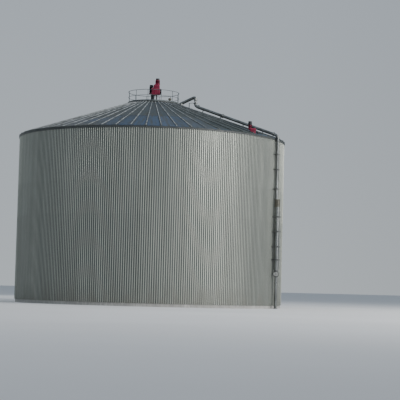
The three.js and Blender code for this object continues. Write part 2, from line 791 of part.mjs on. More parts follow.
// Downpipe: a bare upper length and a wider, lagged lower one, between the arms of brackets on the wall
const lowerPlace = WALL_RADIUS + LOWER_STANDOFF;
const valveTop = VALVE_HEIGHT + VALVE_LENGTH / 2;
const valveBottom = VALVE_HEIGHT - VALVE_LENGTH / 2;
const jointTop = JOINT_HEIGHT + JOINT_LENGTH / 2;
const jointBottom = JOINT_HEIGHT - JOINT_LENGTH / 2;
const bracketFoot = WALL_RADIUS + GAP;
const channelFront = bracketFoot + CHANNEL_SIZE;
function downpipe(name, place, radius, bottom, top, ends) {
  let length = ends.add(solid(drum(radius, bottom, top, 16))).translate([place, 0, 0]);
  const reach = place + radius + ARM_REACH;
  const armInside = radius - GAP;
  for (const height of BRACKET_HEIGHTS.filter((level) => level > bottom && level < top)) {
    const arm = [height - BRACKET_HEIGHT / 2, height + BRACKET_HEIGHT / 2];
    length = length.add(
      join(
        block([bracketFoot, channelFront], [-CHANNEL_LENGTH / 2, CHANNEL_LENGTH / 2], arm),
        block([bracketFoot, reach], [armInside, radius + ARM_WIDTH], arm),
        block([bracketFoot, reach], [-radius - ARM_WIDTH, -armInside], arm),
        block([reach - ARM_REACH - GAP, reach], [-radius, radius], arm),
      ),
    );
  }
  add(name, length, STAINLESS, line);
}
const upperBottom = jointTop + GAP;
const upperTop = elbowEnd - GAP;
downpipe(
  "downpipe_upper",
  downRadius,
  PIPE_RADIUS,
  upperBottom,
  upperTop,
  join(
    collar(PIPE_RADIUS, upperTop - FLANGE_THICKNESS, upperTop),
    collar(PIPE_RADIUS, upperBottom, upperBottom + FLANGE_THICKNESS),
  ),
);
const lowerBottom = valveTop + GAP;
const lowerTop = jointBottom - GAP;
downpipe(
  "downpipe_lower",
  lowerPlace,
  LOWER_RADIUS,
  lowerBottom + FLANGE_THICKNESS,
  lowerTop,
  join(collar(PIPE_RADIUS, lowerBottom, lowerBottom + 2 * FLANGE_THICKNESS)),
);

// Sliding expansion joint: a wide sleeve with a ring at each end and one in the middle
const ringFeet = [jointBottom, JOINT_HEIGHT - JOINT_RING_THICKNESS / 2, jointTop - JOINT_RING_THICKNESS];
add(
  "expansion_joint",
  join(
    drum(JOINT_RADIUS, jointBottom, jointTop, 16),
    ...ringFeet.map((foot) => drum(JOINT_RING_RADIUS, foot, foot + JOINT_RING_THICKNESS, 20)),
  ).translate([lowerPlace, 0, 0]),
  BRASS_BROWN,
  line,
);

// Valve with a large handwheel that faces forwards
const spoke = new THREE.BoxGeometry(2 * HANDWHEEL_RADIUS, 30, 30);
const handwheel = join(
  new THREE.TorusGeometry(HANDWHEEL_RADIUS, HANDWHEEL_TUBE, 6, 18).rotateX(Math.PI / 2),
  new THREE.CylinderGeometry(30, 30, HANDWHEEL_REACH, 8).translate(0, HANDWHEEL_REACH / 2, 0),
  ...[0, 60, 120].map((turn) => spoke.clone().rotateY(radians(turn))),
)
  .translate([0, -HANDWHEEL_REACH, 0])
  .rotate([0, 0, HANDWHEEL_TURN]);
const valveBody = join(
  collar(PIPE_RADIUS, -VALVE_LENGTH / 2, FLANGE_THICKNESS - VALVE_LENGTH / 2),
  collar(PIPE_RADIUS, VALVE_LENGTH / 2 - FLANGE_THICKNESS, VALVE_LENGTH / 2),
  drum(PIPE_RADIUS + VALVE_SWELL, -VALVE_LENGTH / 2, VALVE_LENGTH / 2, 16),
  drum(BONNET_RADIUS, 0, BONNET_FRONT, 20)
    .rotateX(Math.PI / 2)
    .rotateZ(radians(HANDWHEEL_TURN)),
);
add("drain_valve", valveBody.add(handwheel).translate([lowerPlace, 0, VALVE_HEIGHT]), STAINLESS, line);

// Pipe from the valve down to its foot on the ground
add(
  "foot_pipe",
  join(
    drum(PIPE_RADIUS, 0, valveBottom - GAP, PIPE_SIDES),
    collar(PIPE_RADIUS, valveBottom - GAP - FLANGE_THICKNESS, valveBottom - GAP),
    collar(PIPE_RADIUS + FOOT_COLLAR, 0, 2 * FOOT_COLLAR),
  ).translate([lowerPlace, 0, 0]),
  STAINLESS,
  line,
);

export default digester;
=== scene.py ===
import math

import bmesh
import bpy
from mathutils import Matrix, Vector


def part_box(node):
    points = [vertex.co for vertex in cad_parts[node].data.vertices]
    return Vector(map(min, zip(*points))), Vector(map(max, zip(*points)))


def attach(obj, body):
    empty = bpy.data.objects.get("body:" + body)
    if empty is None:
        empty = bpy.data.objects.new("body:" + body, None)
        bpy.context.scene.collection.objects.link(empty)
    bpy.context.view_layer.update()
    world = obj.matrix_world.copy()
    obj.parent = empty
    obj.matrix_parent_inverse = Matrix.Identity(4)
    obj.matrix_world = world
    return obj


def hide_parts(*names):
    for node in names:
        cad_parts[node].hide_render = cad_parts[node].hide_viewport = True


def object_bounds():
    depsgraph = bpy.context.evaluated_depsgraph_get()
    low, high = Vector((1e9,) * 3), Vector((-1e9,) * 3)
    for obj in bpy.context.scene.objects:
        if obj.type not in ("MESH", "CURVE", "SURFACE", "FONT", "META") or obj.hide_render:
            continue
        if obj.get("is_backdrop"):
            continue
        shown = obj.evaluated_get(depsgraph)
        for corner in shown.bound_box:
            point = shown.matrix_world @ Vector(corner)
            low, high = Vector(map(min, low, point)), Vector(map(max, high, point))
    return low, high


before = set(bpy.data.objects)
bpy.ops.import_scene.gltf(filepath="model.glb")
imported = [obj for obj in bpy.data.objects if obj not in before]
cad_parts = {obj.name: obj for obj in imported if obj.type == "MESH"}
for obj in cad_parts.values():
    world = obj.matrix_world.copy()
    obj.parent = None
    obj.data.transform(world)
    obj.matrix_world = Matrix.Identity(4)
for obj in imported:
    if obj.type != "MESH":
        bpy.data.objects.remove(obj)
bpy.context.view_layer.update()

# Camera: the photograph's viewpoint, at eye height and looking slightly up at the tank. The place, the
# turns and the lens were fitted to the curve of the eave and the edges of the wall.
EYE = Vector((0.0, -133.26, 1.65))
YAW = 0.0373
PITCH = 0.0679
ROLL = 0.0254
FOCAL_PIXELS = 1319.73
IMAGE_PIXELS = 400
SENSOR = 36.0
FAR_LIMIT = 6000
QUARTER = math.pi / 2


def in_scene(name, data):
    """A new object of the scene that shows the data"""
    made = bpy.data.objects.new(name, data)
    bpy.context.collection.objects.link(made)
    return made


def swing(turn, axis="Z"):
    return Matrix.Rotation(turn, 4, axis)


lens = bpy.data.cameras.new("viewpoint")
lens.sensor_width = SENSOR
lens.lens = FOCAL_PIXELS / IMAGE_PIXELS * SENSOR
lens.clip_end = FAR_LIMIT
camera = in_scene("viewpoint", lens)
camera.location = EYE
camera.rotation_euler = (swing(-YAW) @ swing(QUARTER + PITCH, "X") @ swing(ROLL)).to_euler()
bpy.context.scene.camera = camera

# Floor and light: a plain pale studio floor under a cool surround that is paler near the floor, with a
# large soft lamp on the right that draws the bright band down the wall, one high on the right, and a
# weak one behind.
FLOOR_RADIUS = 3000
FLOOR_SIDES = 96
FLOOR_COLOUR = Vector((0.76, 0.755, 0.74))
SURROUND_PALE = Vector((0.49, 0.53, 0.56))
SURROUND_DEEP = (0.33, 0.39, 0.47)
SURROUND_RISE = 0.55
SURROUND_SHADE = 0.2
SHADE_START = 0.1
LAMP_AIM = Vector((0, 0, 11))
# Each lamp's name, azimuth, distance, height, size and power
LAMPS = (
    ("key_light", 52, 90, 46, 64, 80000),
    ("high_light", 84, 42, 54, 20, 8000),
    ("back_light", 215, 75, 48, 36, 12000),
)


def direction(azimuth):
    """The level unit vector at an azimuth in degrees: 0 is towards the camera, and it grows to the right"""
    turn = math.radians(azimuth)
    return Vector((math.sin(turn), -math.cos(turn), 0))


for name, azimuth, distance, height, size, power in LAMPS:
    lamp = bpy.data.lights.new(name, "AREA")
    lamp.size = size
    lamp.energy = power
    holder = in_scene(name, lamp)
    holder.location = direction(azimuth) * distance + Vector((0, 0, height))
    holder.rotation_euler = (LAMP_AIM - holder.location).to_track_quat("-Z", "Y").to_euler()


def node(finish, kind, inputs, **settings):
    """A shader node's outputs. An input that is given a socket is linked, and any other is set"""
    tree = finish.node_tree
    made = tree.nodes.new("ShaderNode" + kind)
    for key, value in settings.items():
        setattr(made, key, value)
    for key, value in inputs.items():
        if isinstance(value, bpy.types.NodeSocket):
            tree.links.new(value, made.inputs[key])
        else:
            made.inputs[key].default_value = value
    return made.outputs


def new_finish(name, roughness=0.5, metallic=0, specular=0.5, colour=(0.8, 0.8, 0.8)):
    """A material with its base colour, roughness, metallic and specular level set"""
    finish = bpy.data.materials.new(name)
    finish.use_nodes = True
    shader = finish.node_tree.nodes["Principled BSDF"]
    shader.inputs["Base Color"].default_value = (*colour, 1)
    shader.inputs["Roughness"].default_value = roughness
    shader.inputs["Metallic"].default_value = metallic
    shader.inputs["Specular IOR Level"].default_value = specular
    return finish


def wire(finish, name, socket):
    tree = finish.node_tree
    tree.links.new(socket, tree.nodes["Principled BSDF"].inputs[name])


def share_of(finish, value, low, high):
    """How far a value has come from one limit to the other, from 0 to 1"""
    return node(finish, "MapRange", {"Value": value, "From Min": low, "From Max": high})[0]


def own_place(finish):
    return node(finish, "TexCoord", {})["Object"]


def grain(finish, scale, stretch=(1, 1, 1), detail=4, low=0.35, high=0.65):
    """Noise on the object's own coordinates, from 0 to 1"""
    place = node(finish, "Mapping", {"Vector": own_place(finish), "Scale": stretch})[0]
    noise = node(finish, "TexNoise", {"Vector": place, "Scale": scale, "Detail": detail})
    return share_of(finish, noise["Fac"], low, high)


def mixed(finish, share, *colours):
    """A colour between two others, by a share from 0 to 1"""
    inputs = {"Factor": share}
    for socket, colour in zip((6, 7), colours):
        inputs[socket] = colour if isinstance(colour, bpy.types.NodeSocket) else (*colour, 1)
    return node(finish, "Mix", inputs, data_type="RGBA")[2]


def tint(finish, share, *colours):
    wire(finish, "Base Color", mixed(finish, share, *colours))


def as_object(name, shape, finish):
    """A new object of a shape, in its finish"""
    mesh = bpy.data.meshes.new(name)
    shape.to_mesh(mesh)
    shape.free()
    mesh.materials.append(finish)
    return in_scene(name, mesh)


surround = bpy.data.worlds.new("surround")
surround.use_nodes = True
bpy.context.scene.world = surround
heading = node(surround, "SeparateXYZ", {"Vector": node(surround, "TexCoord", {})["Generated"]})
shaded = share_of(surround, heading["X"], SHADE_START, 1)
walls = mixed(surround, shaded, SURROUND_PALE, SURROUND_SHADE * SURROUND_PALE)
sky = mixed(surround, share_of(surround, heading["Z"], 0, SURROUND_RISE), walls, SURROUND_DEEP)
surround.node_tree.links.new(sky, surround.node_tree.nodes["Background"].inputs["Color"])

floor_finish = new_finish("studio_floor", roughness=0.9, specular=0.1)
tint(floor_finish, grain(floor_finish, 0.05), 0.97 * FLOOR_COLOUR, 1.02 * FLOOR_COLOUR)
shape = bmesh.new()
bmesh.ops.create_circle(shape, cap_ends=True, radius=FLOOR_RADIUS, segments=FLOOR_SIDES)
floor = as_object("studio_floor", shape, floor_finish)
floor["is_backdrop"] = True

# Foundation: a cast concrete slab, a little smaller than the cladding that hangs past its edge. The
# frame's own solid has the right shape, so it only gets its finish: mottled grey with damp stains and
# blow holes.
concrete = new_finish("cast_concrete", roughness=0.92, specular=0.3)
patches = mixed(concrete, grain(concrete, 0.7, detail=8), (0.52, 0.51, 0.48), (0.4, 0.39, 0.36))
tint(concrete, grain(concrete, 6, (1, 1, 0.3)), patches, (0.34, 0.33, 0.31))


def dent(finish, height, distance, strength):
    bump = node(finish, "Bump", {"Height": height, "Distance": distance, "Strength": strength})
    wire(finish, "Normal", bump[0])


dent(concrete, grain(concrete, 45, detail=6), 0.004, 0.6)


def dress(name, finish):
    """Gives one of the frame's own solids its finish"""
    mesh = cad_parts[name].data
    mesh.materials.clear()
    mesh.materials.append(finish)


dress("foundation_slab", concrete)


# Wall shell: insulation boards on a steel shell, hidden behind the cladding apart from its lower edge.
# The eight solids of the frame stay, and get the dull look of zinc-coated board facing.
def mottled(finish, scale, first, second, stretch=(1, 1, 1), detail=4):
    """Lets a finish's colour wander between two tones"""
    tint(finish, grain(finish, scale, stretch, detail), first, second)


def nodes_like(start):
    return sorted(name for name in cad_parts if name.startswith(start))


facing_board = new_finish("shell_facing", roughness=0.6, metallic=0.6)
mottled(facing_board, 3, (0.45, 0.46, 0.45), (0.33, 0.34, 0.34))
for name in nodes_like("wall_segment"):
    dress(name, facing_board)

# Wall cladding: upright trapezoidal sheets of stucco-embossed aluminium, screwed through their troughs.
# There are three tiers, and each one's lower end lies over the one below. One rib's outline is turned
# round the tank.
RIB_COUNT = 405
RIB_DEGREES = 360 / RIB_COUNT
SHEET_RIBS = 5
TROUGH_RADIUS = 13.3225
CREST_RADIUS = 13.3480
SHEET_THICKNESS = 0.0016
SEAM_REACH = 0.004
LAP_STEP = 0.0022
LAP_LENGTH = 0.09
LAPS = (8.4, 11.5)
TIER_NUMBERS = 211
EAVE_GAP = 0.005
SPLASH_TOP = 2.2
SPLASH_FOOT = 0.2
# Where the outline's corners lie on a rib's width, and whether each is at the trough or the crest
RIB_OUTLINE = ((0.0, 0), (0.56, 0), (0.655, 1), (0.905, 1), (1.0, 0))
SHARP_ANGLE = math.radians(35)


def levels(name):
    """A node's lowest and highest level"""
    return [corner.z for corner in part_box(name)]


def maths(finish, operation, *numbers):
    return node(finish, "Math", dict(enumerate(numbers)), operation=operation)[0]


def round_tank(finish):
    """A point's height, its turn round the tank in radians, and its level place"""
    part = node(finish, "SeparateXYZ", {"Vector": own_place(finish)})
    turn = maths(finish, "ARCTAN2", part["X"], maths(finish, "MULTIPLY", part["Y"], -1.0))
    return part["Z"], turn, node(finish, "CombineXYZ", {"X": part["X"], "Y": part["Y"]})[0]


def between(finish, share, low, high):
    return node(finish, "MapRange", {"Value": share, "To Min": low, "To Max": high})[0]


def tone_of(finish, number):
    """A tone for each sheet or plate, picked by its number"""
    return node(finish, "TexWhiteNoise", {"W": number}, noise_dimensions="1D")["Value"]


wall_low, wall_high = levels("wall_segment_01")
cladding = new_finish("stucco_aluminium", metallic=0.75)
level_up, turn_round, level_place = round_tank(cladding)
sheet_turn = maths(cladding, "MULTIPLY", turn_round, 1 / math.radians(RIB_DEGREES * SHEET_RIBS))
sheet_number = maths(cladding, "FLOOR", sheet_turn)
for lap in LAPS:
    above = maths(cladding, "GREATER_THAN", level_up, lap)
    sheet_number = maths(cladding, "MULTIPLY_ADD", above, TIER_NUMBERS, sheet_number)
metal_tone = mixed(cladding, tone_of(cladding, sheet_number), (0.56, 0.585, 0.51), (0.62, 0.64, 0.555))
streaked = mixed(cladding, grain(cladding, 2.2, (1, 1, 0.05), 7), metal_tone, (0.48, 0.495, 0.435))
# The troughs and the ribs' flanks are far darker than the crests: partly dust, partly painted shade between
# the ribs. The crests are also smoother.
reach = node(cladding, "VectorMath", {0: level_place}, operation="LENGTH")["Value"]
rib_sides = [TROUGH_RADIUS + share * (CREST_RADIUS - TROUGH_RADIUS) for share in (0.75, 0.97)]
crest_share = share_of(cladding, reach, *rib_sides)
trough_dust_and_shade = mixed(cladding, grain(cladding, 1.2, (1, 1, 0.1), 5), (0.15, 0.16, 0.148), (0.19, 0.2, 0.185))
ribbed = mixed(cladding, crest_share, trough_dust_and_shade, streaked)
foot_dirt = share_of(cladding, level_up, SPLASH_TOP, SPLASH_FOOT)
splash = maths(cladding, "MULTIPLY", foot_dirt, grain(cladding, 1.4, (1, 1, 0.3)))
tint(cladding, splash, ribbed, (0.25, 0.25, 0.22))
sheen = between(cladding, grain(cladding, 1.1, (1, 1, 0.1), 6), 0.42, 0.56)
wire(cladding, "Roughness", maths(cladding, "ADD", sheen, between(cladding, crest_share, 0.32, 0)))
dent(cladding, grain(cladding, 70, detail=2), 0.0008, 0.3)


def finish_piece(name, shape, finish, *stands_for, rounded=True):
    """Makes a shape a piece on the frame's root body, in its finish, and hides the nodes that it replaces
    """
    made = as_object(name, shape, finish)
    if rounded:
        made.data.shade_smooth()
        made.data.set_sharp_from_angle(angle=SHARP_ANGLE)
    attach(made, "root")
    if stands_for:
        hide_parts(*stands_for)


def repeat_round(shape, count, geometry=None, stand=Matrix()):
    """Copies geometry, or all of the shape, round its stand's Z axis at equal steps of a full turn"""
    bmesh.ops.spin(
        shape,
        geom=geometry or [*shape.verts, *shape.edges, *shape.faces],
        cent=stand.translation,
        axis=stand.col[2].xyz,
        angle=2 * math.pi * (count - 1) / count,
        steps=count - 1,
        use_duplicate=True,
    )


def verts_in(geometry):
    return [item for item in geometry if isinstance(item, bmesh.types.BMVert)]


def raised(shape, geometry, height):
    bmesh.ops.translate(shape, vec=(0, 0, height), verts=verts_in(geometry))


shape = bmesh.new()
tier_feet = (wall_low, *LAPS)
tier_tops = (*[lap + LAP_LENGTH for lap in LAPS], wall_high - EAVE_GAP)
for tier, (foot, top) in enumerate(zip(tier_feet, tier_tops)):
    sheet = bmesh.new()
    radii = [radius + tier * LAP_STEP for radius in (TROUGH_RADIUS, CREST_RADIUS)]
    corners = [sheet.verts.new(direction(RIB_DEGREES * share) * radii[side]) for share, side in RIB_OUTLINE]
    raised(sheet, corners, foot)
    flats = [sheet.edges.new(pair) for pair in zip(corners, corners[1:])]
    repeat_round(sheet, RIB_COUNT, corners + flats)
    bmesh.ops.remove_doubles(sheet, verts=sheet.verts[:], dist=SEAM_REACH)
    raised(sheet, bmesh.ops.extrude_edge_only(sheet, edges=sheet.edges[:])["geom"], top - foot)
    bmesh.ops.recalc_face_normals(sheet, faces=sheet.faces[:])
    bmesh.ops.solidify(sheet, geom=sheet.faces[:], thickness=SHEET_THICKNESS)
    tier_mesh = bpy.data.meshes.new("tier")
    sheet.to_mesh(tier_mesh)
    sheet.free()
    shape.from_mesh(tier_mesh)
    bpy.data.meshes.remove(tier_mesh)
finish_piece("wall_cladding", shape, cladding, rounded=False)

# Cladding screws: hexagon heads in every third trough, in rows that follow the rails behind the sheets.
# They are zinc-plated steel, driven through from outside.
SCREW_RADIUS = 0.011
SCREW_HEIGHT = 0.009
SCREW_SIDES = 6
SCREW_TAPER = 0.7
SCREW_ROWS = 12
SCREW_COLUMNS = 135
FIRST_ROW = 0.2
LAST_ROW = 0.3
TROUGH_MIDDLE = 0.28

zinc = new_finish("zinc_fasteners", 0.45, 0.8)
mottled(zinc, 9, (0.4, 0.41, 0.41), (0.28, 0.28, 0.27))


def shift(x=0.0, y=0.0, z=0.0):
    return Matrix.Translation((x, y, z))


def facing(azimuth, radius=0.0, height=0.0):
    """A stand with its X axis pointing outwards at an azimuth and its Z axis up"""
    place = direction(azimuth) * radius + Vector((0, 0, height))
    return Matrix.Translation(place) @ swing(math.radians(azimuth - 90))


def drum(shape, radius, low, high, stand=Matrix(), sides=32, taper=1.0):
    """A round bar on its stand's Z axis, which may taper towards its top"""
    return bmesh.ops.create_cone(
        shape,
        cap_ends=True,
        segments=sides,
        radius1=radius,
        radius2=taper * radius,
        depth=high - low,
        matrix=stand @ shift(z=(low + high) / 2),
    )["verts"]


def screw(shape, stand, radius=SCREW_RADIUS, height=SCREW_HEIGHT):
    return drum(shape, radius, 0, height, stand, SCREW_SIDES, SCREW_TAPER)


shape = bmesh.new()
lying_out = swing(QUARTER, "Y")
trough = facing(RIB_DEGREES * TROUGH_MIDDLE, TROUGH_RADIUS + 2 * LAP_STEP, wall_low + FIRST_ROW)
screw(shape, trough @ lying_out @ swing(QUARTER))
repeat_round(shape, SCREW_COLUMNS)
row = [*shape.verts, *shape.edges, *shape.faces]
row_step = (wall_high - wall_low - FIRST_ROW - LAST_ROW) / (SCREW_ROWS - 1)
for number in range(1, SCREW_ROWS):
    raised(shape, bmesh.ops.duplicate(shape, geom=row)["geom"], number * row_step)
finish_piece("cladding_screws", shape, zinc, rounded=False)

# Eave flashing: a folded curb and skirt that closes the gap between the cladding and the roof's rim,
# near black with dark paint and with painted shade under the rim. The frame's own ring has the shape, and
# short joint straps cover the butt joints of its lengths.
STRAP_COUNT = 60
STRAP_WIDTH = 0.06
STRAP_THICKNESS = 0.004
STRAP_DROP = 0.09
STRAP_RISE = 0.08
RIB_AZIMUTH = 3.3
FLASHING_RADIUS = 13.4


def dull(finish, share, low, high):
    """Lets the roughness go from one value to another with a share"""
    wire(finish, "Roughness", between(finish, share, low, high))


# Near black: dark paint, and painted shade under the roof's rim.
flashing = new_finish("flashing_with_painted_shade", metallic=0.1)
mottled(flashing, 2, (0.044, 0.05, 0.05), (0.066, 0.07, 0.066), (1, 1, 3))
dull(flashing, grain(flashing, 5), 0.45, 0.7)
dress("eave_flashing", flashing)


def edges_at(verts):
    return {edge for vert in verts for edge in vert.link_edges}


def rounded_off(shape, edges, width, steps):
    bmesh.ops.bevel(
        shape,
        geom=list(edges),
        offset=width,
        segments=steps,
        profile=0.5,
        affect="EDGES",
        material=-1,
        clamp_overlap=True,
    )


def block(shape, low, high, stand=Matrix(), edge=0.0, steps=1):
    """A box between two corners in the frame of its stand, with its edges bevelled if a width is given"""
    low, high = Vector(low), Vector(high)
    place = stand @ Matrix.Translation((low + high) / 2) @ Matrix.Diagonal((*(high - low), 1))
    verts = bmesh.ops.create_cube(shape, size=1, matrix=place)["verts"]
    if edge:
        rounded_off(shape, edges_at(verts), edge, steps)
    return verts


shape = bmesh.new()
strap_low = (0, -STRAP_WIDTH / 2, -STRAP_DROP)
strap_high = (STRAP_THICKNESS, STRAP_WIDTH / 2, STRAP_RISE)
block(shape, strap_low, strap_high, facing(RIB_AZIMUTH, FLASHING_RADIUS, wall_high), 0.001)
repeat_round(shape, STRAP_COUNT)
finish_piece("flashing_straps", shape, flashing)

# Roof plates: flat painted steel plates between the ribs, two to each bay, the upper lapped over the
# lower. Each plate has its own tone, and the lower plates are blue with a painted reflection of the sky,
# which algae patches cover on the roof's two sides away from the front and back. The right side is darker
# still with painted shade, and rain has drawn streaks down the slope.
BAYS = 60
BAY_DEGREES = 360 / BAYS
ROOF_RADIUS = 13.42
RIM_HEIGHT = 16.55
APEX = 21.16
SLOPE = (APEX - RIM_HEIGHT) / ROOF_RADIUS
ROOF_DEPTH = 0.06
CROWN_HOLE = 2.6
PLATE_LAP = 9.4
PLATE_STEP = 0.012
PLATE_OVERLAP = 0.12
ROW_NUMBERS = 97
STREAKS_ROUND = 30.0


def roof_height(radius):
    return APEX - SLOPE * radius


roof_paint = new_finish("roof_paint", specular=0.12)
level_up, turn_round, level_place = round_tank(roof_paint)
started = maths(roof_paint, "SUBTRACT", turn_round, math.radians(RIB_AZIMUTH))
bay = maths(roof_paint, "FLOOR", maths(roof_paint, "MULTIPLY", started, 1 / math.radians(BAY_DEGREES)))
upper = maths(roof_paint, "GREATER_THAN", level_up, roof_height(PLATE_LAP))
plate_tone = tone_of(roof_paint, maths(roof_paint, "MULTIPLY_ADD", upper, ROW_NUMBERS, bay))
# The lower plates' blue is a painted reflection of the sky over their grey paint.
blue_sky_reflection_tone = mixed(roof_paint, plate_tone, (0.052, 0.082, 0.13), (0.078, 0.106, 0.148))
high_tone = mixed(roof_paint, plate_tone, (0.055, 0.07, 0.08), (0.075, 0.088, 0.092))
paint_and_sky_reflection = mixed(roof_paint, upper, blue_sky_reflection_tone, high_tone)
outwards = node(roof_paint, "VectorMath", {0: level_place}, operation="NORMALIZE")[0]
across = node(roof_paint, "SeparateXYZ", {"Vector": outwards})["X"]
dry_algae = mixed(roof_paint, plate_tone, (0.07, 0.079, 0.08), (0.096, 0.102, 0.098))
# Towards the right the algae tone grows darker: algae with painted shade on the roof's right side.
dark_algae_and_shade = mixed(roof_paint, plate_tone, (0.028, 0.038, 0.038), (0.045, 0.055, 0.053))
algae_and_shade_tone = mixed(roof_paint, share_of(roof_paint, across, -0.5, 0.5), dry_algae, dark_algae_and_shade)
# Away from the front and the back, algae patches cover the painted sky reflection.
aside = share_of(roof_paint, maths(roof_paint, "ABSOLUTE", across), 0.06, 0.4)
patchy = share_of(roof_paint, grain(roof_paint, 0.14), 0.0, 0.55)
clean = mixed(roof_paint, maths(roof_paint, "MULTIPLY", aside, patchy), paint_and_sky_reflection, algae_and_shade_tone)
spread = node(roof_paint, "VectorMath", {0: outwards, "Scale": STREAKS_ROUND}, operation="SCALE")[0]
downhill = node(roof_paint, "CombineXYZ", {"Z": level_up})[0]
flow = node(roof_paint, "VectorMath", {0: spread, 1: downhill}, operation="ADD")[0]
rain = node(roof_paint, "TexNoise", {"Vector": flow, "Scale": 1.3, "Detail": 7.0})["Fac"]
tint(roof_paint, share_of(roof_paint, rain, 0.45, 0.7), clean, (0.07, 0.074, 0.066))
dull(roof_paint, rain, 0.42, 0.7)
dent(roof_paint, grain(roof_paint, 0.9, detail=3), 0.012, 0.35)

shape = bmesh.new()
plates = ((PLATE_LAP, ROOF_RADIUS, 0.0), (CROWN_HOLE, PLATE_LAP + PLATE_OVERLAP, PLATE_STEP))
for inner, outer, lift in plates:
    corners = []
    for turn, radius in ((0, inner), (0, outer), (BAY_DEGREES, outer), (BAY_DEGREES, inner)):
        place = direction(RIB_AZIMUTH + turn) * radius
        corners.append(shape.verts.new(place + Vector((0, 0, roof_height(radius) + lift))))
    lower = bmesh.ops.extrude_face_region(shape, geom=[shape.faces.new(corners)])["geom"]
    raised(shape, lower, -ROOF_DEPTH - lift)
repeat_round(shape, BAYS)
bmesh.ops.recalc_face_normals(shape, faces=shape.faces[:])
finish_piece("roof_plates", shape, roof_paint, *nodes_like("roof_sector"), rounded=False)

# Roof ribs: pale folded cover strips over the joints of the plates, from the crown to the rim, each on a
# black rubber seal and screwed down on both sides. The seal stands out wider than the strip, as a painted
# shadow beside it, and the strips darken towards the right with painted shade. One strip is bevelled and
# then turned round the roof.
STRIP_HALF = 0.045
STRIP_HEIGHT = 0.06
STRIP_START = 2.8
STRIP_END = 13.41
SEAL_AND_SHADOW_HALF = 1.7 * STRIP_HALF
SEAL_HEIGHT = 0.006
SCREW_PLACE = 1.25 * STRIP_HALF
SCREW_STEP = 0.6
STRIP_DEPTH = 0.02
ROOF_ANGLE = math.atan(SLOPE)

strip_metal = new_finish("strip_aluminium", metallic=0.3, specular=0.2)
stains = grain(strip_metal, 1.7, detail=6)
bright_strip = mixed(strip_metal, stains, (0.36, 0.38, 0.385), (0.15, 0.16, 0.155))
# From 3 m to 8 m towards the right the strips darken to near black: painted shade on the roof's right side.
across = node(strip_metal, "SeparateXYZ", {"Vector": own_place(strip_metal)})["X"]
tint(strip_metal, share_of(strip_metal, across, 3, 8), bright_strip, (0.09, 0.1, 0.095))
dull(strip_metal, grain(strip_metal, 4), 0.5, 0.75)

# Black rubber for the seals and the screw heads; the seals' band beside each strip is a painted shadow.
seal_rubber = new_finish("seal_rubber", 0.8, specular=0.2)
mottled(seal_rubber, 5, (0.018, 0.02, 0.022), (0.04, 0.042, 0.04))


def down_slope(azimuth, radius, lift=0.0):
    """A stand on the roof with its X axis down the slope and its Z axis square to the plates"""
    return facing(azimuth, radius, roof_height(radius) + lift) @ swing(ROOF_ANGLE, "Y")


strip_stand = down_slope(RIB_AZIMUTH, STRIP_START)
strip_length = (STRIP_END - STRIP_START) / math.cos(ROOF_ANGLE)
strips = (
    ("roof_cover_strips", strip_metal, STRIP_HALF, STRIP_HEIGHT, 0.014, 2),
    ("roof_strip_shadow_seals", seal_rubber, SEAL_AND_SHADOW_HALF, SEAL_HEIGHT, 0.002, 1),
)
for name, finish, half, top, edge, steps in strips:
    shape = bmesh.new()
    block(shape, (0, -half, -STRIP_DEPTH), (strip_length, half, top), strip_stand, edge, steps)
    repeat_round(shape, BAYS)
    finish_piece(name, shape, finish)

shape = bmesh.new()
screw_count = int(strip_length / SCREW_STEP)
for number in range(screw_count):
    for y in (-SCREW_PLACE, SCREW_PLACE):
        screw(shape, strip_stand @ shift((number + 0.5) * strip_length / screw_count, y, SEAL_HEIGHT))
repeat_round(shape, BAYS)
finish_piece("roof_screws", shape, seal_rubber, rounded=False)

# Crown: a flat dark steel cover over the hole in the roof's middle, bolted down round its rim. The
# frame's own solid stays, and the ring of bolts is added.
CROWN_BOLT_RADIUS = 2.69
CROWN_BOLTS = 90
WASHER_SIDES = 10

crown_paint = new_finish("crown_paint", roughness=0.85, specular=0.1)
mottled(crown_paint, 1.6, (0.025, 0.028, 0.03), (0.06, 0.056, 0.048), detail=7)
dent(crown_paint, grain(crown_paint, 25), 0.002, 0.4)
dress("crown_cover", crown_paint)


def bolt(shape, stand, size):
    """A hexagon head on a washer"""
    washer = drum(shape, size, 0, 0.2 * size, stand, WASHER_SIDES)
    return washer + screw(shape, stand @ shift(z=0.2 * size), 0.8 * size, 0.7 * size)


shape = bmesh.new()
bolt(shape, facing(0, CROWN_BOLT_RADIUS, levels("crown_cover")[1]), 0.022)
repeat_round(shape, CROWN_BOLTS)
finish_piece("crown_bolts", shape, zinc, rounded=False)

# Platform deck: galvanised bar grating, cut to a circle inside a flat edge band, on top of the crown
# cover. Bearing bars run across the view, and thinner rods are pressed in square to them.
DECK_LOW, DECK_HIGH = levels("platform_deck")
DECK_RADIUS = 2.62
BAND_THICKNESS = 0.006
BAR_SPACING = 0.034
BAR_THICKNESS = 0.004
ROD_SPACING = 0.1
ROD_SIZE = 0.008
ROD_SINK = 0.0005
DECK_STEPS = 96

rail_steel = new_finish("rail_steel", metallic=0.4, specular=0.3)
mottled(rail_steel, 3, (0.085, 0.1, 0.105), (0.15, 0.17, 0.17), detail=6)
dull(rail_steel, grain(rail_steel, 14), 0.5, 0.75)


def spun_round(shape, geometry, stand, steps):
    bmesh.ops.spin(
        shape,
        geom=geometry,
        cent=stand.translation,
        axis=stand.col[2].xyz,
        angle=2 * math.pi,
        steps=steps,
        use_merge=True,
    )


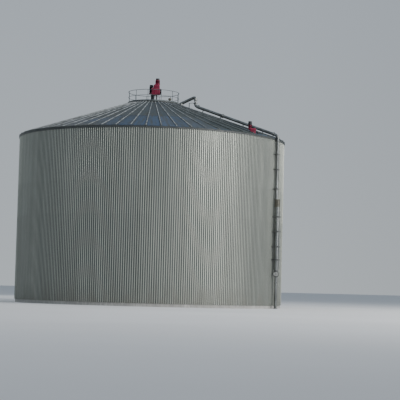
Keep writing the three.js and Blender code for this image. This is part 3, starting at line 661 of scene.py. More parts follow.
def turned(shape, outline, stand=Matrix(), steps=48):
    """A solid turned on its stand's Z axis from an outline of radii and heights that starts and ends on the
    axis, or else closes on itself"""
    verts = [shape.verts.new(stand @ Vector((radius, 0, height))) for radius, height in outline]
    edges = [shape.edges.new(pair) for pair in zip(verts, verts[1:])]
    if outline[0][0] > 0:
        edges.append(shape.edges.new((verts[-1], verts[0])))
    spun_round(shape, verts + edges, stand, steps)


def band(inside, outside, low, high):
    """The outline of a plain ring, or of a disc where its inside is 0"""
    return [(inside, low), (outside, low), (outside, high), (inside, high)]


def close_up(shape):
    """Merges what lies together, and turns the faces outwards"""
    bmesh.ops.remove_doubles(shape, verts=shape.verts[:], dist=1e-5)
    bmesh.ops.recalc_face_normals(shape, faces=shape.faces[:])


def bars_across(shape, spacing, width, low, high, stand):
    """Straight bars side by side, cut to the deck's circle"""
    reach = DECK_RADIUS - BAND_THICKNESS
    count = int(reach / spacing)
    for number in range(-count, count + 1):
        y = number * spacing
        half = math.sqrt(reach**2 - y**2)
        block(shape, (-half, y - width / 2, low), (half, y + width / 2, high), stand)


shape = bmesh.new()
turned(shape, band(DECK_RADIUS - BAND_THICKNESS, DECK_RADIUS, DECK_LOW, DECK_HIGH), steps=DECK_STEPS)
bars_across(shape, BAR_SPACING, BAR_THICKNESS, DECK_LOW, DECK_HIGH, Matrix())
bars_across(shape, ROD_SPACING, ROD_SIZE, DECK_HIGH - ROD_SIZE, DECK_HIGH - ROD_SINK, swing(QUARTER))
close_up(shape)
finish_piece("deck_grating", shape, rail_steel, "platform_deck", rounded=False)

# Guard rail: galvanised tube, with a top rail, a knee rail and a toe board bent round the deck, on twelve
# posts with bolted base plates.
RAIL_RADIUS = 2.56
RAIL_TUBE = 0.024
TOP_RAIL = 1.13
KNEE_RAIL = 0.58
TOE_GAP = 0.01
TOE_HEIGHT = 0.11
TOE_THICKNESS = 0.006
POSTS = 12
POST_TURN = 17
BASE_PLATE = 0.056
BASE_THICKNESS = 0.01


def ring(shape, radius, tube, stand=Matrix(), steps=DECK_STEPS, sides=12):
    """A round bar bent into a full circle round its stand's Z axis"""
    place = stand @ shift(radius) @ swing(QUARTER, "X")
    section = bmesh.ops.create_circle(shape, radius=tube, segments=sides, matrix=place)["verts"]
    spun_round(shape, [*section, *edges_at(section)], stand, steps)


def bolts_at(shape, xs, ys, stand, size):
    """Bolt heads at each crossing of some columns and rows of their stand's XY plane"""
    for x in xs:
        for y in ys:
            bolt(shape, stand @ shift(x, y), size)


shape = bmesh.new()
post = facing(POST_TURN, RAIL_RADIUS, DECK_HIGH)
drum(shape, RAIL_TUBE, 0.008, TOP_RAIL, post, 12)
block(shape, (-BASE_PLATE, -BASE_PLATE, 0), (BASE_PLATE, BASE_PLATE, BASE_THICKNESS), post, 0.002)
bolts_at(shape, (-0.04, 0.04), (-0.04, 0.04), post @ shift(z=BASE_THICKNESS), 0.009)
repeat_round(shape, POSTS)
ring(shape, RAIL_RADIUS, RAIL_TUBE, shift(z=DECK_HIGH + TOP_RAIL))
ring(shape, RAIL_RADIUS, 0.8 * RAIL_TUBE, shift(z=DECK_HIGH + KNEE_RAIL))
toe_outside = RAIL_RADIUS + RAIL_TUBE
toe_board = band(toe_outside - TOE_THICKNESS, toe_outside, TOE_GAP, TOE_HEIGHT)
turned(shape, toe_board, shift(z=DECK_HIGH), DECK_STEPS)
close_up(shape)
finish_piece("guard_rail", shape, rail_steel, *nodes_like("guard_rail"))

# Pedestal: an open stool of three square hollow legs in dark paint, welded between two flange rings in
# red. It is bolted down through the grating to the crown, and the agitator's shaft comes up through its
# middle.
LEG_TURN = math.radians(14)
LEG_STEP = math.radians(120)
LEG_PLACE = 0.295
LEG_HALF = 0.06
LEG_GAP = 0.004
RING_THICKNESS = 0.04
RING_HOLE = 0.09
RING_EDGE = 0.003
RING_BOLT_INSET = 0.045
BOLT_STEP = math.radians(30)
GUSSET = ((0, 0), (0.07, 0), (0.07, 0.012), (0.012, 0.12), (0, 0.12))
GUSSET_THICKNESS = 0.012

red_paint = new_finish("red_paint", specular=0.35)
faded = mixed(red_paint, grain(red_paint, 3.5, detail=6), (0.24, 0.012, 0.045), (0.16, 0.011, 0.035))
grime = grain(red_paint, 9, (1, 1, 0.25), 8, 0.55, 0.75)
tint(red_paint, grime, faded, (0.07, 0.025, 0.03))
dull(red_paint, grime, 0.38, 0.7)
dent(red_paint, grain(red_paint, 60, detail=3), 0.001, 0.35)

dark_paint = new_finish("dark_paint", specular=0.4)
soot = grain(dark_paint, 8, detail=7, low=0.5, high=0.75)
tint(dark_paint, soot, (0.016, 0.015, 0.019), (0.05, 0.046, 0.045))
dull(dark_paint, soot, 0.42, 0.72)
dent(dark_paint, grain(dark_paint, 70), 0.0008, 0.3)


def with_faces(verts):
    """The vertices with their edges and faces"""
    return [*verts, *edges_at(verts), *{face for vert in verts for face in vert.link_faces}]


def bolt_ring(shape, count, radius, stand, size):
    """Bolt heads at equal steps round their stand's Z axis"""
    repeat_round(shape, count, with_faces(bolt(shape, stand @ shift(radius), size)), stand)


def prism(shape, outline, depth, stand=Matrix(), edge=0.0, steps=3):
    """An outline in the stand's XZ plane made as deep as given, half to each side, with bevelled edges"""
    near = [shape.verts.new(stand @ Vector((x, -depth / 2, z))) for x, z in outline]
    grown = bmesh.ops.extrude_face_region(shape, geom=[shape.faces.new(near)], use_keep_orig=True)["geom"]
    far = verts_in(grown)
    bmesh.ops.translate(shape, vec=stand.to_3x3() @ Vector((0, depth, 0)), verts=far)
    if edge:
        rounded_off(shape, edges_at(near + far), edge, steps)


def mirrored(half, low, high):
    """An outline's lower half and its mirror image about the middle between two heights"""
    return [*half, *((radius, low + high - height) for radius, height in reversed(half))]


def disc(radius, low, high, edge=RING_EDGE, hole=0.0):
    """The outline of a disc with chamfered edges, round a hole or none"""
    return mirrored([(hole, low), (radius - edge, low), (radius, low + edge)], low, high)


low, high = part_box("agitator_pedestal")
ring_radius = high.x
stool_height = high.z - low.z
stool = shift(z=low.z)
shape = bmesh.new()
for low in (0, stool_height - RING_THICKNESS):
    turned(shape, disc(ring_radius, low, low + RING_THICKNESS, hole=RING_HOLE), stool, 64)
close_up(shape)
finish_piece("stool_rings", shape, red_paint)

shape = bmesh.new()
for number in range(3):
    leg = stool @ swing(LEG_TURN + number * LEG_STEP) @ shift(LEG_PLACE)
    leg_high = (LEG_HALF, LEG_HALF, stool_height - LEG_GAP)
    block(shape, (-LEG_HALF, -LEG_HALF, LEG_GAP), leg_high, leg, 0.014, 3)
    for side in (-1, 1, 2):
        leg_side = leg @ swing(side * QUARTER) @ shift(LEG_HALF, 0, RING_THICKNESS)
        prism(shape, GUSSET, GUSSET_THICKNESS, leg_side)
close_up(shape)
finish_piece("agitator_stool", shape, dark_paint, "agitator_pedestal")

shape = bmesh.new()
for level, flip in ((RING_THICKNESS, 1), (stool_height - RING_THICKNESS, -1)):
    ring_face = stool @ shift(z=level) @ swing(0 if flip > 0 else math.pi, "X")
    for number in range(1, 4):
        bolt_turn = swing(flip * (LEG_TURN + number * BOLT_STEP))
        bolt_ring(shape, 3, ring_radius - RING_BOLT_INSET, ring_face @ bolt_turn, 0.018)
finish_piece("agitator_stool_bolts", shape, zinc, rounded=False)

# Shaft: a round dark-painted bar between the agitator inside the tank and the gearbox, with a bolted
# coupling that can be reached between the stool's legs.
SHAFT_RADIUS = 0.075
HUB_RADIUS = 0.095
COUPLING_RADIUS = 0.12
COUPLING_LOW = 0.34
COUPLING_HIGH = 0.46
COUPLING_GAP = 0.004

coupling_middle = (COUPLING_LOW + COUPLING_HIGH) / 2
half_coupling = [
    (SHAFT_RADIUS, COUPLING_LOW - 0.06), (HUB_RADIUS, COUPLING_LOW - 0.05), (HUB_RADIUS, COUPLING_LOW),
    (COUPLING_RADIUS, COUPLING_LOW), (COUPLING_RADIUS, coupling_middle - COUPLING_GAP / 2),
    (COUPLING_RADIUS - COUPLING_GAP, coupling_middle - COUPLING_GAP / 2),
]
coupling = mirrored(half_coupling, COUPLING_LOW, COUPLING_HIGH)
shape = bmesh.new()
shaft_ends = ((0, 0), (SHAFT_RADIUS, 0)), ((SHAFT_RADIUS, stool_height), (0, stool_height))
turned(shape, [*shaft_ends[0], *coupling, *shaft_ends[1]], stool)
close_up(shape)
bolt_ring(shape, 8, COUPLING_RADIUS - 0.012, stool @ shift(z=COUPLING_HIGH), 0.012)
finish_piece("agitator_drive_shaft", shape, dark_paint, "agitator_shaft")

# Gearbox: a cast housing in red paint, split at mid-height with a bolted joint, with a cover on each
# broad side, a neck for the upright motor, a shelf for the side motor and a bearing housing with a dark
# end cap.
CASE_LEFT = -0.24
CASE_RIGHT = 0.6
CASE_HEIGHT = 0.68
CASE_DEPTH = 0.64
CASE_CHAMFER = 0.04
NECK_RADIUS = 0.225
NECK_LEFT = -0.02
NECK_SHOULDER = 0.31
NECK_FLARE = 0.015
NECK_DEPTH = 0.43
BEARING_RADIUS = 0.31
BEARING_HEIGHT = 0.34
BEARING_LIP = 0.025
SHELF_HALF = 0.225
SHELF_BACK = 0.785
SHELF_HEIGHT = 0.24
SHELF_THICKNESS = 0.07
SHELF_RIB = ((0, 0), (0.3, 0.155), (0, 0.155))
MOTOR_PLACE = 0.355
SIDE_MOTOR_PLACE = (-0.26, 0.56)
COVER_PLACE = 0.19
COVER_THICKNESS = 0.018
SPLIT_HEIGHT = 0.34
SPLIT_HALF = 0.03
SPLIT_REACH = 0.022
STRIP_ROOT = 0.01
SMALL_BOLT = 0.009


def casing(shape, left, right, tall, depth, stand, edge):
    """A cast housing with chamfered ends, whose foot is square on the left"""
    outline = [(left, 0), (right - CASE_CHAMFER, 0), (right, CASE_CHAMFER), (right, tall - CASE_CHAMFER)]
    outline += [(right - CASE_CHAMFER, tall), (left + CASE_CHAMFER, tall), (left, tall - CASE_CHAMFER)]
    prism(shape, outline, depth, stand, edge)


def split_joint(shape, left, right, level, half, depth, reach, stand, edge):
    """The strips along both broad sides of a housing where its halves are bolted together"""
    for y in (-depth / 2 - reach, depth / 2 - STRIP_ROOT):
        strip_high = (right, y + reach + STRIP_ROOT, level + half)
        block(shape, (left, y, level - half), strip_high, stand, edge, 2)


def broad_side(side, depth):
    """A stand on the front or back of a housing, with its Z axis pointing away from it"""
    return shift(0, side * depth / 2) @ swing(-side * QUARTER, "X")


low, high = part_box("agitator_gearbox")
case = shift(z=low.z)
case_end = high.x
neck_top = high.z - low.z
neck_right = MOTOR_PLACE + NECK_RADIUS
neck_foot = CASE_HEIGHT - CASE_CHAMFER
neck = (
    (NECK_LEFT, neck_foot), (neck_right + NECK_FLARE, neck_foot), (neck_right, neck_top - 0.02),
    (MOTOR_PLACE - NECK_RADIUS - NECK_FLARE, neck_top - 0.02), (NECK_LEFT, CASE_HEIGHT + NECK_SHOULDER),
)
shape = bmesh.new()
casing(shape, CASE_LEFT, CASE_RIGHT, CASE_HEIGHT, CASE_DEPTH, case, 0.022)
prism(shape, neck, NECK_DEPTH, case, 0.03)
turned(shape, band(0, 1.12 * NECK_RADIUS, neck_top - 0.05, neck_top), case @ shift(MOTOR_PLACE))
for y in (-0.11, 0.11):
    web_low = (NECK_LEFT + 0.02, y - 0.009, CASE_HEIGHT - 0.02)
    block(shape, web_low, (NECK_LEFT - 0.03, y + 0.009, neck_top - 0.2), case, 0.003)
joint_ends = CASE_LEFT + 0.02, CASE_RIGHT - 0.02
split_joint(shape, *joint_ends, SPLIT_HEIGHT, SPLIT_HALF, CASE_DEPTH, SPLIT_REACH, case, 0.006)
rib_ends = (0.02, SPLIT_HEIGHT - SPLIT_HALF), (SPLIT_HEIGHT + SPLIT_HALF, CASE_HEIGHT - 0.1)
for y in (-CASE_DEPTH / 2 - 0.004, CASE_DEPTH / 2 + 0.004):
    for x in (CASE_LEFT + 0.1, CASE_RIGHT - 0.13):
        for low, high in rib_ends:
            block(shape, (x - 0.011, y - 0.014, low), (x + 0.011, y + 0.014, high), case, 0.004, 2)
shelf = case @ shift(SIDE_MOTOR_PLACE[0])
shelf_foot = SHELF_HEIGHT - SHELF_THICKNESS
shelf_low = (-SHELF_HALF, CASE_DEPTH / 2 - 0.03, shelf_foot)
block(shape, shelf_low, (SHELF_HALF, SHELF_BACK, SHELF_HEIGHT), shelf, 0.012, 3)
for x in (-0.1, 0.12):
    rib = shelf @ shift(x, CASE_DEPTH / 2 - 0.005, shelf_foot - 0.15) @ swing(QUARTER)
    prism(shape, SHELF_RIB, 0.016, rib)
bearing = case @ shift(z=BEARING_HEIGHT) @ lying_out
bearing_outline = [
    (0, MOTOR_PLACE), (BEARING_RADIUS - 0.02, MOTOR_PLACE), (BEARING_RADIUS - 0.02, CASE_RIGHT + 0.005),
    (BEARING_RADIUS, CASE_RIGHT + 0.01), (BEARING_RADIUS, CASE_RIGHT + BEARING_LIP),
    (0, CASE_RIGHT + BEARING_LIP),
]
turned(shape, bearing_outline, bearing)
for y in (-0.2, 0.2):
    eye = case @ shift(CASE_LEFT + 0.13, y, CASE_HEIGHT + 0.03) @ swing(QUARTER, "X")
    ring(shape, 0.03, 0.009, eye, 20, 8)
close_up(shape)
finish_piece("gearbox_housing", shape, red_paint, "agitator_gearbox")

shape = bmesh.new()
for side in (-1, 1):
    cover = case @ shift(COVER_PLACE, 0, 0.15) @ broad_side(side, CASE_DEPTH)
    rim = (0.09, 0), (0.09, COVER_THICKNESS - 0.004), (0.086, COVER_THICKNESS)
    turned(shape, [(0, 0), *rim, (0.03, 0.022), (0, 0.022)], cover, 32)
    bolt_ring(shape, 8, 0.074, cover @ shift(z=COVER_THICKNESS), SMALL_BOLT)
    hatch = case @ shift(COVER_PLACE, 0, 0.5) @ broad_side(side, CASE_DEPTH)
    block(shape, (-0.13, -0.085, 0), (0.13, 0.085, COVER_THICKNESS), hatch, 0.005, 2)
    bolts_at(shape, (-0.11, 0, 0.11), (-0.068, 0.068), hatch @ shift(z=COVER_THICKNESS), SMALL_BOLT)
close_up(shape)
finish_piece("gearbox_covers", shape, red_paint)

shape = bmesh.new()
cap_radius, cap_face = BEARING_RADIUS - 0.012, case_end - 0.008
cap_outline = [
    (0, CASE_RIGHT + BEARING_LIP), (cap_radius, CASE_RIGHT + BEARING_LIP), (cap_radius, cap_face - 0.006),
    (cap_radius - 0.008, cap_face), (0.12, cap_face), (0.1, case_end), (0, case_end),
]
turned(shape, cap_outline, bearing)
close_up(shape)
bolt_ring(shape, 10, BEARING_RADIUS - 0.045, bearing @ shift(z=cap_face), 0.012)
finish_piece("gearbox_end_cap", shape, dark_paint)

shape = bmesh.new()
joint_bolts = [CASE_LEFT + 0.06 + number * (CASE_RIGHT - CASE_LEFT - 0.12) / 5 for number in range(6)]
for y in (-CASE_DEPTH / 2 - 0.5 * SPLIT_REACH, CASE_DEPTH / 2 + 0.5 * SPLIT_REACH):
    bolts_at(shape, joint_bolts, [y], case @ shift(z=SPLIT_HEIGHT + SPLIT_HALF), SMALL_BOLT)
    for x in joint_bolts:
        bolt(shape, case @ shift(x, y, SPLIT_HEIGHT - SPLIT_HALF) @ swing(math.pi, "X"), SMALL_BOLT)
close_up(shape)
finish_piece("gearbox_joint_bolts", shape, red_paint, rounded=False)

# Motors: two upright electric motors, the main one in red on the gearbox's neck and a smaller dark one
# on its shelf. Each has a bolted flange, cooling fins, a terminal box with cable glands and a fan cowl.
SIDE_MOTOR_RADIUS = 0.2
FIN_THICKNESS = 0.005
FIN_COUNT = 40
COWL_SLOTS = 28
COWL_STUBS = 4


def scaled(outline, radius, length):
    return [(radius * across, length * up) for across, up in outline]


def fins(shape, count, low, high, width, stand):
    """Upright ribs round a drum, each as wide as given, between two corners of a radius and a height"""
    corners = (low[0], -width / 2, low[1]), (high[0], width / 2, high[1])
    repeat_round(shape, count, with_faces(block(shape, *corners, stand)), stand)


def motor_body(name, cad_name, paint, place, radius):
    """An upright motor on its flange, in the place of the frame's own solid"""
    low, high = levels(cad_name)
    length = high - low
    stand = shift(*place, low)
    flange_outline = [(0, 0), (1.1 * radius, 0), (1.12 * radius, 0.004), (1.12 * radius, 0.026)]
    flange_outline += [(1.1 * radius, 0.03), (0.93 * radius, 0.032)]
    body = ((0.93, 0.1), (0.84, 0.11), (0.84, 0.9), (0.97, 0.91))
    head = [(0.97 * radius, length - 0.004), (0.95 * radius, length), (0, length)]
    shape = bmesh.new()
    turned(shape, [*flange_outline, *scaled(body, radius, length), *head], stand)
    fin_ends = (0.8 * radius, 0.105 * length), (radius, 0.905 * length)
    fins(shape, FIN_COUNT, *fin_ends, FIN_THICKNESS, stand)
    box = stand @ swing(QUARTER)
    half, box_low, box_high = 0.45 * radius, 0.35 * length, 0.7 * length
    reach = 1.45 * radius
    block(shape, (0.8 * radius, -half, box_low), (reach - 0.02, half, box_high), box, 0.006, 2)
    lid_low = (reach - 0.022, -half - 0.006, box_low - 0.006)
    block(shape, lid_low, (reach, half + 0.006, box_high + 0.006), box, 0.007, 2)
    for y in (-0.75 * half, 0.75 * half):
        for z in (box_low + 0.02, box_high - 0.02):
            screw(shape, box @ shift(reach, y, z) @ lying_out, 0.006, 0.004)
    for y in (-0.4 * half, 0.4 * half):
        gland = box @ shift(1.2 * radius, y, box_low) @ swing(math.pi, "X")
        drum(shape, 0.016, 0, 0.03, gland, 6)
        drum(shape, 0.01, 0.03, 0.05, gland, 12)
    close_up(shape)
    bolt_ring(shape, 8, 1.04 * radius, stand @ shift(z=0.03) @ swing(math.pi / 8), 0.011)
    finish_piece(name, shape, paint, cad_name)


def motor_cowl(name, cad_name, place):
    """The fan's cowl: a pressed drum with slots round its shoulder and a rain cap over its open top"""
    low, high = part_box(cad_name)
    size = (high.x - low.x) / 2, high.z - low.z
    stand = shift(*place, low.z)
    pressed = ((0, 0), (0.98, 0), (0.98, 0.56), (0.94, 0.66), (0.86, 0.7), (0, 0.7))
    rain_cap = ((0, 0.78), (0.985, 0.78), (1, 0.8), (1, 0.86), (0.95, 0.93), (0.5, 1), (0, 1))
    shape = bmesh.new()
    turned(shape, scaled(pressed, *size), stand)
    turned(shape, scaled(rain_cap, *size), stand)
    fins(shape, COWL_SLOTS, *scaled(((0.55, 0.69), (0.84, 0.725)), *size), 0.012, stand)
    fins(shape, COWL_STUBS, *scaled(((0.66, 0.69), (0.76, 0.79)), *size), 0.024, stand)
    fins(shape, 2 * COWL_SLOTS, *scaled(((0.96, 0.12), (0.995, 0.5)), *size), 0.008, stand)
    close_up(shape)
    finish_piece(name, shape, dark_paint, cad_name)


motor_body("main_motor", "agitator_motor", red_paint, (MOTOR_PLACE, 0), NECK_RADIUS)
motor_body("small_motor", "side_motor", dark_paint, SIDE_MOTOR_PLACE, SIDE_MOTOR_RADIUS)
motor_cowl("main_motor_cowl", "agitator_motor_cowl", (MOTOR_PLACE, 0))
motor_cowl("small_motor_cowl", "side_motor_cowl", SIDE_MOTOR_PLACE)

# Relief valve: a bronze pressure and vacuum valve on a flange on the crown, with a waisted body under a
# weather hood. It is cast in bronze that has weathered brown.
RELIEF_AZIMUTH = 59
RELIEF_PLACE = 1.9
RELIEF_RADIUS = 0.09
RELIEF_FLANGE = 0.17
RELIEF_FOOT = 0.022

bronze = new_finish("weathered_bronze", metallic=0.5)
patina = grain(bronze, 7, detail=8)
tint(bronze, patina, (0.17, 0.155, 0.12), (0.1, 0.1, 0.082))
dull(bronze, patina, 0.4, 0.7)
dent(bronze, grain(bronze, 50), 0.001, 0.3)

low, high = levels("relief_valve")
height = high - low
stand = facing(RELIEF_AZIMUTH, RELIEF_PLACE, low)
relief_outline = [
    (0, 0), (RELIEF_FLANGE, 0), (RELIEF_FLANGE, RELIEF_FOOT), (RELIEF_RADIUS + 0.01, 0.024),
    (RELIEF_RADIUS, 0.05), (RELIEF_RADIUS, 0.5 * height), (RELIEF_RADIUS + 0.035, 0.56 * height),
    (RELIEF_RADIUS + 0.035, 0.68 * height), (RELIEF_RADIUS + 0.01, 0.7 * height),
    (RELIEF_FLANGE - 0.01, 0.7 * height), (RELIEF_FLANGE, 0.73 * height), (RELIEF_FLANGE, 0.84 * height),
    (0.8 * RELIEF_FLANGE, 0.94 * height), (0.3 * RELIEF_FLANGE, height), (0, height),
]
shape = bmesh.new()
turned(shape, relief_outline, stand, 40)
close_up(shape)
bolt_ring(shape, 8, RELIEF_FLANGE - 0.025, stand @ shift(z=RELIEF_FOOT), 0.012)
finish_piece("relief_valve_body", shape, bronze, "relief_valve")

# Edge drive: a smaller agitator drive by the eave, in red paint. A wedge with a bolted foot plate stands
# on the roof, with a gearbox and its bearing cap on it, and a short motor on its shelf under a large
# dark cowl.
EDGE_AZIMUTH = 46.9
EDGE_PLACE = 13.08
EDGE_BASE_X = (-0.25, 0.2)
EDGE_BASE_Y = (-0.18, 0.18)
EDGE_CASE_X = (-0.33, 0.22)
EDGE_SHELF_DEPTH = 0.15
EDGE_SHELF_THICKNESS = 0.08
EDGE_BEARING_RADIUS = 0.11
EDGE_MOTOR_PLACE = -0.33
EDGE_FIN_COUNT = 32
EDGE_SPLIT_HALF = 0.016
FOOT_PLATE_REACH = 0.03
FOOT_PLATE_THICKNESS = 0.014
ROOF_SINK = 0.012

edge_place = direction(EDGE_AZIMUTH) * EDGE_PLACE


def wedge(shape, x_range, y_range, top, edge):
    """A block with upright sides on the roof's slope, whose top is worked out from the roof's height"""
    corners = []
    for x in x_range:
        for y in y_range:
            place = edge_place + Vector((x, y, 0))
            roof = roof_height(place.length)
            for level in (roof - ROOF_SINK, top(roof)):
                corners.append(shape.verts.new((place.x, place.y, level)))
    hull = bmesh.ops.convex_hull(shape, input=corners)["geom"]
    edges = {item for item in hull if isinstance(item, bmesh.types.BMEdge) and not item.is_boundary}
    sharp = [item for item in edges if len(item.link_faces) == 2 and item.calc_face_angle() > SHARP_ANGLE]
    rounded_off(shape, sharp, edge, 2)


shape = bmesh.new()
wedge_top = levels("edge_drive_base")[1]
wedge(shape, EDGE_BASE_X, EDGE_BASE_Y, lambda roof: wedge_top, 0.008)
base_sides = (EDGE_BASE_X, EDGE_BASE_Y)
plate_x, plate_y = ((low - FOOT_PLATE_REACH, high + FOOT_PLATE_REACH) for low, high in base_sides)
wedge(shape, plate_x, plate_y, lambda roof: roof + FOOT_PLATE_THICKNESS, 0.002)
close_up(shape)
for x in (plate_x[0] + 0.016, plate_x[1] - 0.016):
    for share in (0.1, 0.37, 0.63, 0.9):
        place = edge_place + Vector((x, plate_y[0] + share * (plate_y[1] - plate_y[0]), 0))
        place.z = roof_height(place.length) + FOOT_PLATE_THICKNESS
        bolt(shape, Matrix.Translation(place) @ down_slope(EDGE_AZIMUTH, 0).to_3x3().to_4x4(), 0.011)
finish_piece("edge_drive_wedge", shape, red_paint, "edge_drive_base")

low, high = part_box("edge_drive_gearbox")
drive = shift(edge_place.x, edge_place.y, low.z)
shelf_left, cap_end = low.x - edge_place.x, high.x - edge_place.x
left, right = EDGE_CASE_X
depth, tall = high.y - low.y, high.z - low.z
shelf_foot = tall - EDGE_SHELF_THICKNESS
shape = bmesh.new()
casing(shape, left, right, tall, depth, drive, 0.016)
shelf_high = (left + 0.2, EDGE_SHELF_DEPTH, tall)
block(shape, (shelf_left, -EDGE_SHELF_DEPTH, shelf_foot), shelf_high, drive, 0.014, 3)
for y in (-0.08, 0.08):
    web_high = (left + 0.02, y + 0.006, shelf_foot + 0.01)
    block(shape, (shelf_left + 0.03, y - 0.006, shelf_foot - 0.06), web_high, drive, 0.002)
split_joint(shape, left + 0.01, right - 0.01, tall / 2, EDGE_SPLIT_HALF, depth, 0.012, drive, 0.004)
bearing = drive @ shift(z=tall / 2) @ lying_out
turned(shape, band(0, EDGE_BEARING_RADIUS - 0.008, 0, right + 0.02), bearing, 40)
for side in (-1, 1):
    cover = drive @ shift(0.06, 0, 0.07) @ broad_side(side, depth)
    turned(shape, [(0, 0), (0.055, 0), (0.055, 0.012), (0, 0.014)], cover, 24)
close_up(shape)
joint_bolts = [left + 0.05 + number * (right - left - 0.1) / 4 for number in range(5)]
joint_sides = (-depth / 2 - 0.004, depth / 2 + 0.004)
bolts_at(shape, joint_bolts, joint_sides, drive @ shift(z=tall / 2 + EDGE_SPLIT_HALF), 0.008)
finish_piece("edge_drive_housing", shape, red_paint, "edge_drive_gearbox")

shape = bmesh.new()
cap_face = cap_end - 0.006
cap_outline = [
    (0, right + 0.02), (EDGE_BEARING_RADIUS, right + 0.02), (EDGE_BEARING_RADIUS, cap_face - 0.01),
    (EDGE_BEARING_RADIUS - 0.01, cap_face), (0.08, cap_face), (0.07, cap_end), (0, cap_end),
]
turned(shape, cap_outline, bearing, 40)
close_up(shape)
bolt_ring(shape, 8, EDGE_BEARING_RADIUS - 0.03, bearing @ shift(z=cap_face), 0.01)
finish_piece("edge_drive_cap", shape, dark_paint)

low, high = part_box("edge_drive_motor")
radius = (high.x - low.x) / 2
length = high.z - low.z
motor_place = edge_place.x + EDGE_MOTOR_PLACE, edge_place.y
stand = shift(*motor_place, low.z)
edge_motor = [
    (0, 0), (radius, 0), (radius, 0.024), (0.84 * radius, 0.03), (0.84 * radius, length - 0.03),
    (0.96 * radius, length - 0.026), (0.96 * radius, length), (0, length),
]
shape = bmesh.new()
turned(shape, edge_motor, stand, 40)
fin_ends = (0.8 * radius, 0.026), (0.99 * radius, length - 0.028)
fins(shape, EDGE_FIN_COUNT, *fin_ends, FIN_THICKNESS, stand)
close_up(shape)
finish_piece("edge_motor", shape, red_paint, "edge_drive_motor")
motor_cowl("edge_motor_cowl", "edge_drive_cowl", motor_place)

# Sight glass: a stub through the roof plate with a loose flange that clamps a domed glass, for looking
# at the gas room and the foam below. Its frame is dark paint and the dome is thick dark glass.
SIGHT_AZIMUTH = 49.4
SIGHT_PLACE = 13.2
SIGHT_RADIUS = 0.13
SIGHT_FLANGE = 0.178
SIGHT_HEIGHT = 0.095
SIGHT_DEPTH = 0.05
DOME_STEPS = 10

sight_roof = roof_height(SIGHT_PLACE)
top = sight_roof + SIGHT_HEIGHT
stand = facing(SIGHT_AZIMUTH, SIGHT_PLACE)
sight_outline = [
    (0, sight_roof - SIGHT_DEPTH), (SIGHT_RADIUS, sight_roof - SIGHT_DEPTH), (SIGHT_RADIUS, top - 0.04),
    (SIGHT_FLANGE, top - 0.04), (SIGHT_FLANGE, top - 0.023), (SIGHT_FLANGE - 0.004, top - 0.023),
    (SIGHT_FLANGE - 0.004, top - 0.017), (SIGHT_FLANGE, top - 0.017), (SIGHT_FLANGE, top),
    (SIGHT_RADIUS + 0.004, top + 0.004), (0, top + 0.004),
]
shape = bmesh.new()
turned(shape, sight_outline, stand, 40)
close_up(shape)
bolt_ring(shape, 8, SIGHT_FLANGE - 0.022, stand @ shift(z=top), 0.012)
finish_piece("sight_glass_frame", shape, dark_paint, "sight_glass")

dome_glass = new_finish("dome_glass", specular=0.6, colour=(0.02, 0.028, 0.026))
dull(dome_glass, grain(dome_glass, 12, detail=6), 0.05, 0.3)
dome_foot, dome_top = top + 0.003, levels("sight_glass")[1]
arc = [QUARTER * number / DOME_STEPS for number in range(DOME_STEPS)]
rise = dome_top - dome_foot
dome = [(SIGHT_RADIUS * math.cos(turn), dome_foot + rise * math.sin(turn)) for turn in arc]
shape = bmesh.new()
turned(shape, [(0, top - 0.01), (SIGHT_RADIUS, top - 0.01), *dome, (0, dome_top)], stand, 40)
close_up(shape)
finish_piece("sight_glass_dome", shape, dome_glass)

# Gas outlet: a stainless pipe that rises from a nozzle in the roof by the crown and turns down at its
# top. The ring welds of its lengths show.
PIPE_AZIMUTH = 63.3
OUTLET_RADIUS = 0.15
OUTLET_FOOT = 2.98
OUTLET_FOOT_HEIGHT = 20.23
OUTLET_TURN = 4.36
OUTLET_SLOPE = 0.395
OUTLET_WELDS = (3.6, 4.34)
NOZZLE_PLACE = 3.12
NOZZLE_RADIUS = 0.19
NOZZLE_RISE = 0.09
NOZZLE_ARC = (0, 0.3, 0.7, 1.1)
COLLAR_RADIUS = 0.28
COLLAR_TOP = 0.012
DROP_PLACE = 4.69
DROP_TOP = 20.6
BEND_STEPS = 14
WELD_SIZE = 0.006
UP = Vector((0, 0, 1))

line = facing(PIPE_AZIMUTH)


def upright_at(radius, height, across=0.0):
    """A stand on the gas pipe's plane with its Z axis up"""
    return line @ shift(radius, across, height)


def on_line(radius, height):
    """A point in the upright plane of the gas pipe"""
    return upright_at(radius, height).translation


def bend(start, corner, end):
    """The knots of a bend that leaves its start towards the corner and comes to its end from there"""
    shares = [number / BEND_STEPS for number in range(BEND_STEPS + 1)]
    return [start * (1 - s) ** 2 + corner * 2 * s * (1 - s) + end * s**2 for s in shares]


def along(place, heading):
    """A stand with its Z axis along a heading"""
    return Matrix.Translation(place) @ heading.to_track_quat("Z", "Y").to_matrix().to_4x4()


def sweep(shape, knots, radius, sides=32):
    """A round pipe along its knots, closed at both ends"""
    headings = [(after - before).normalized() for before, after in zip(knots, knots[1:])]
    middles = [(before + after).normalized() for before, after in zip(headings, headings[1:])]
    tangents = [headings[0], *middles, headings[-1]]
    start = along(knots[0], tangents[0])
    end = bmesh.ops.create_circle(shape, cap_ends=True, radius=radius, segments=sides, matrix=start)
    edges = list(edges_at(end["verts"]))
    for number in range(1, len(knots)):
        grown = bmesh.ops.extrude_edge_only(shape, edges=edges)["geom"]
        verts = verts_in(grown)
        rim = set(verts)
        edges = [item for item in grown if isinstance(item, bmesh.types.BMEdge) and set(item.verts) <= rim]
        turn = tangents[number - 1].rotation_difference(tangents[number]).to_matrix().to_4x4()
        move = Matrix.Translation(knots[number]) @ turn @ Matrix.Translation(-knots[number - 1])
        bmesh.ops.transform(shape, matrix=move, verts=verts)
    bmesh.ops.edgeloop_fill(shape, edges=edges)


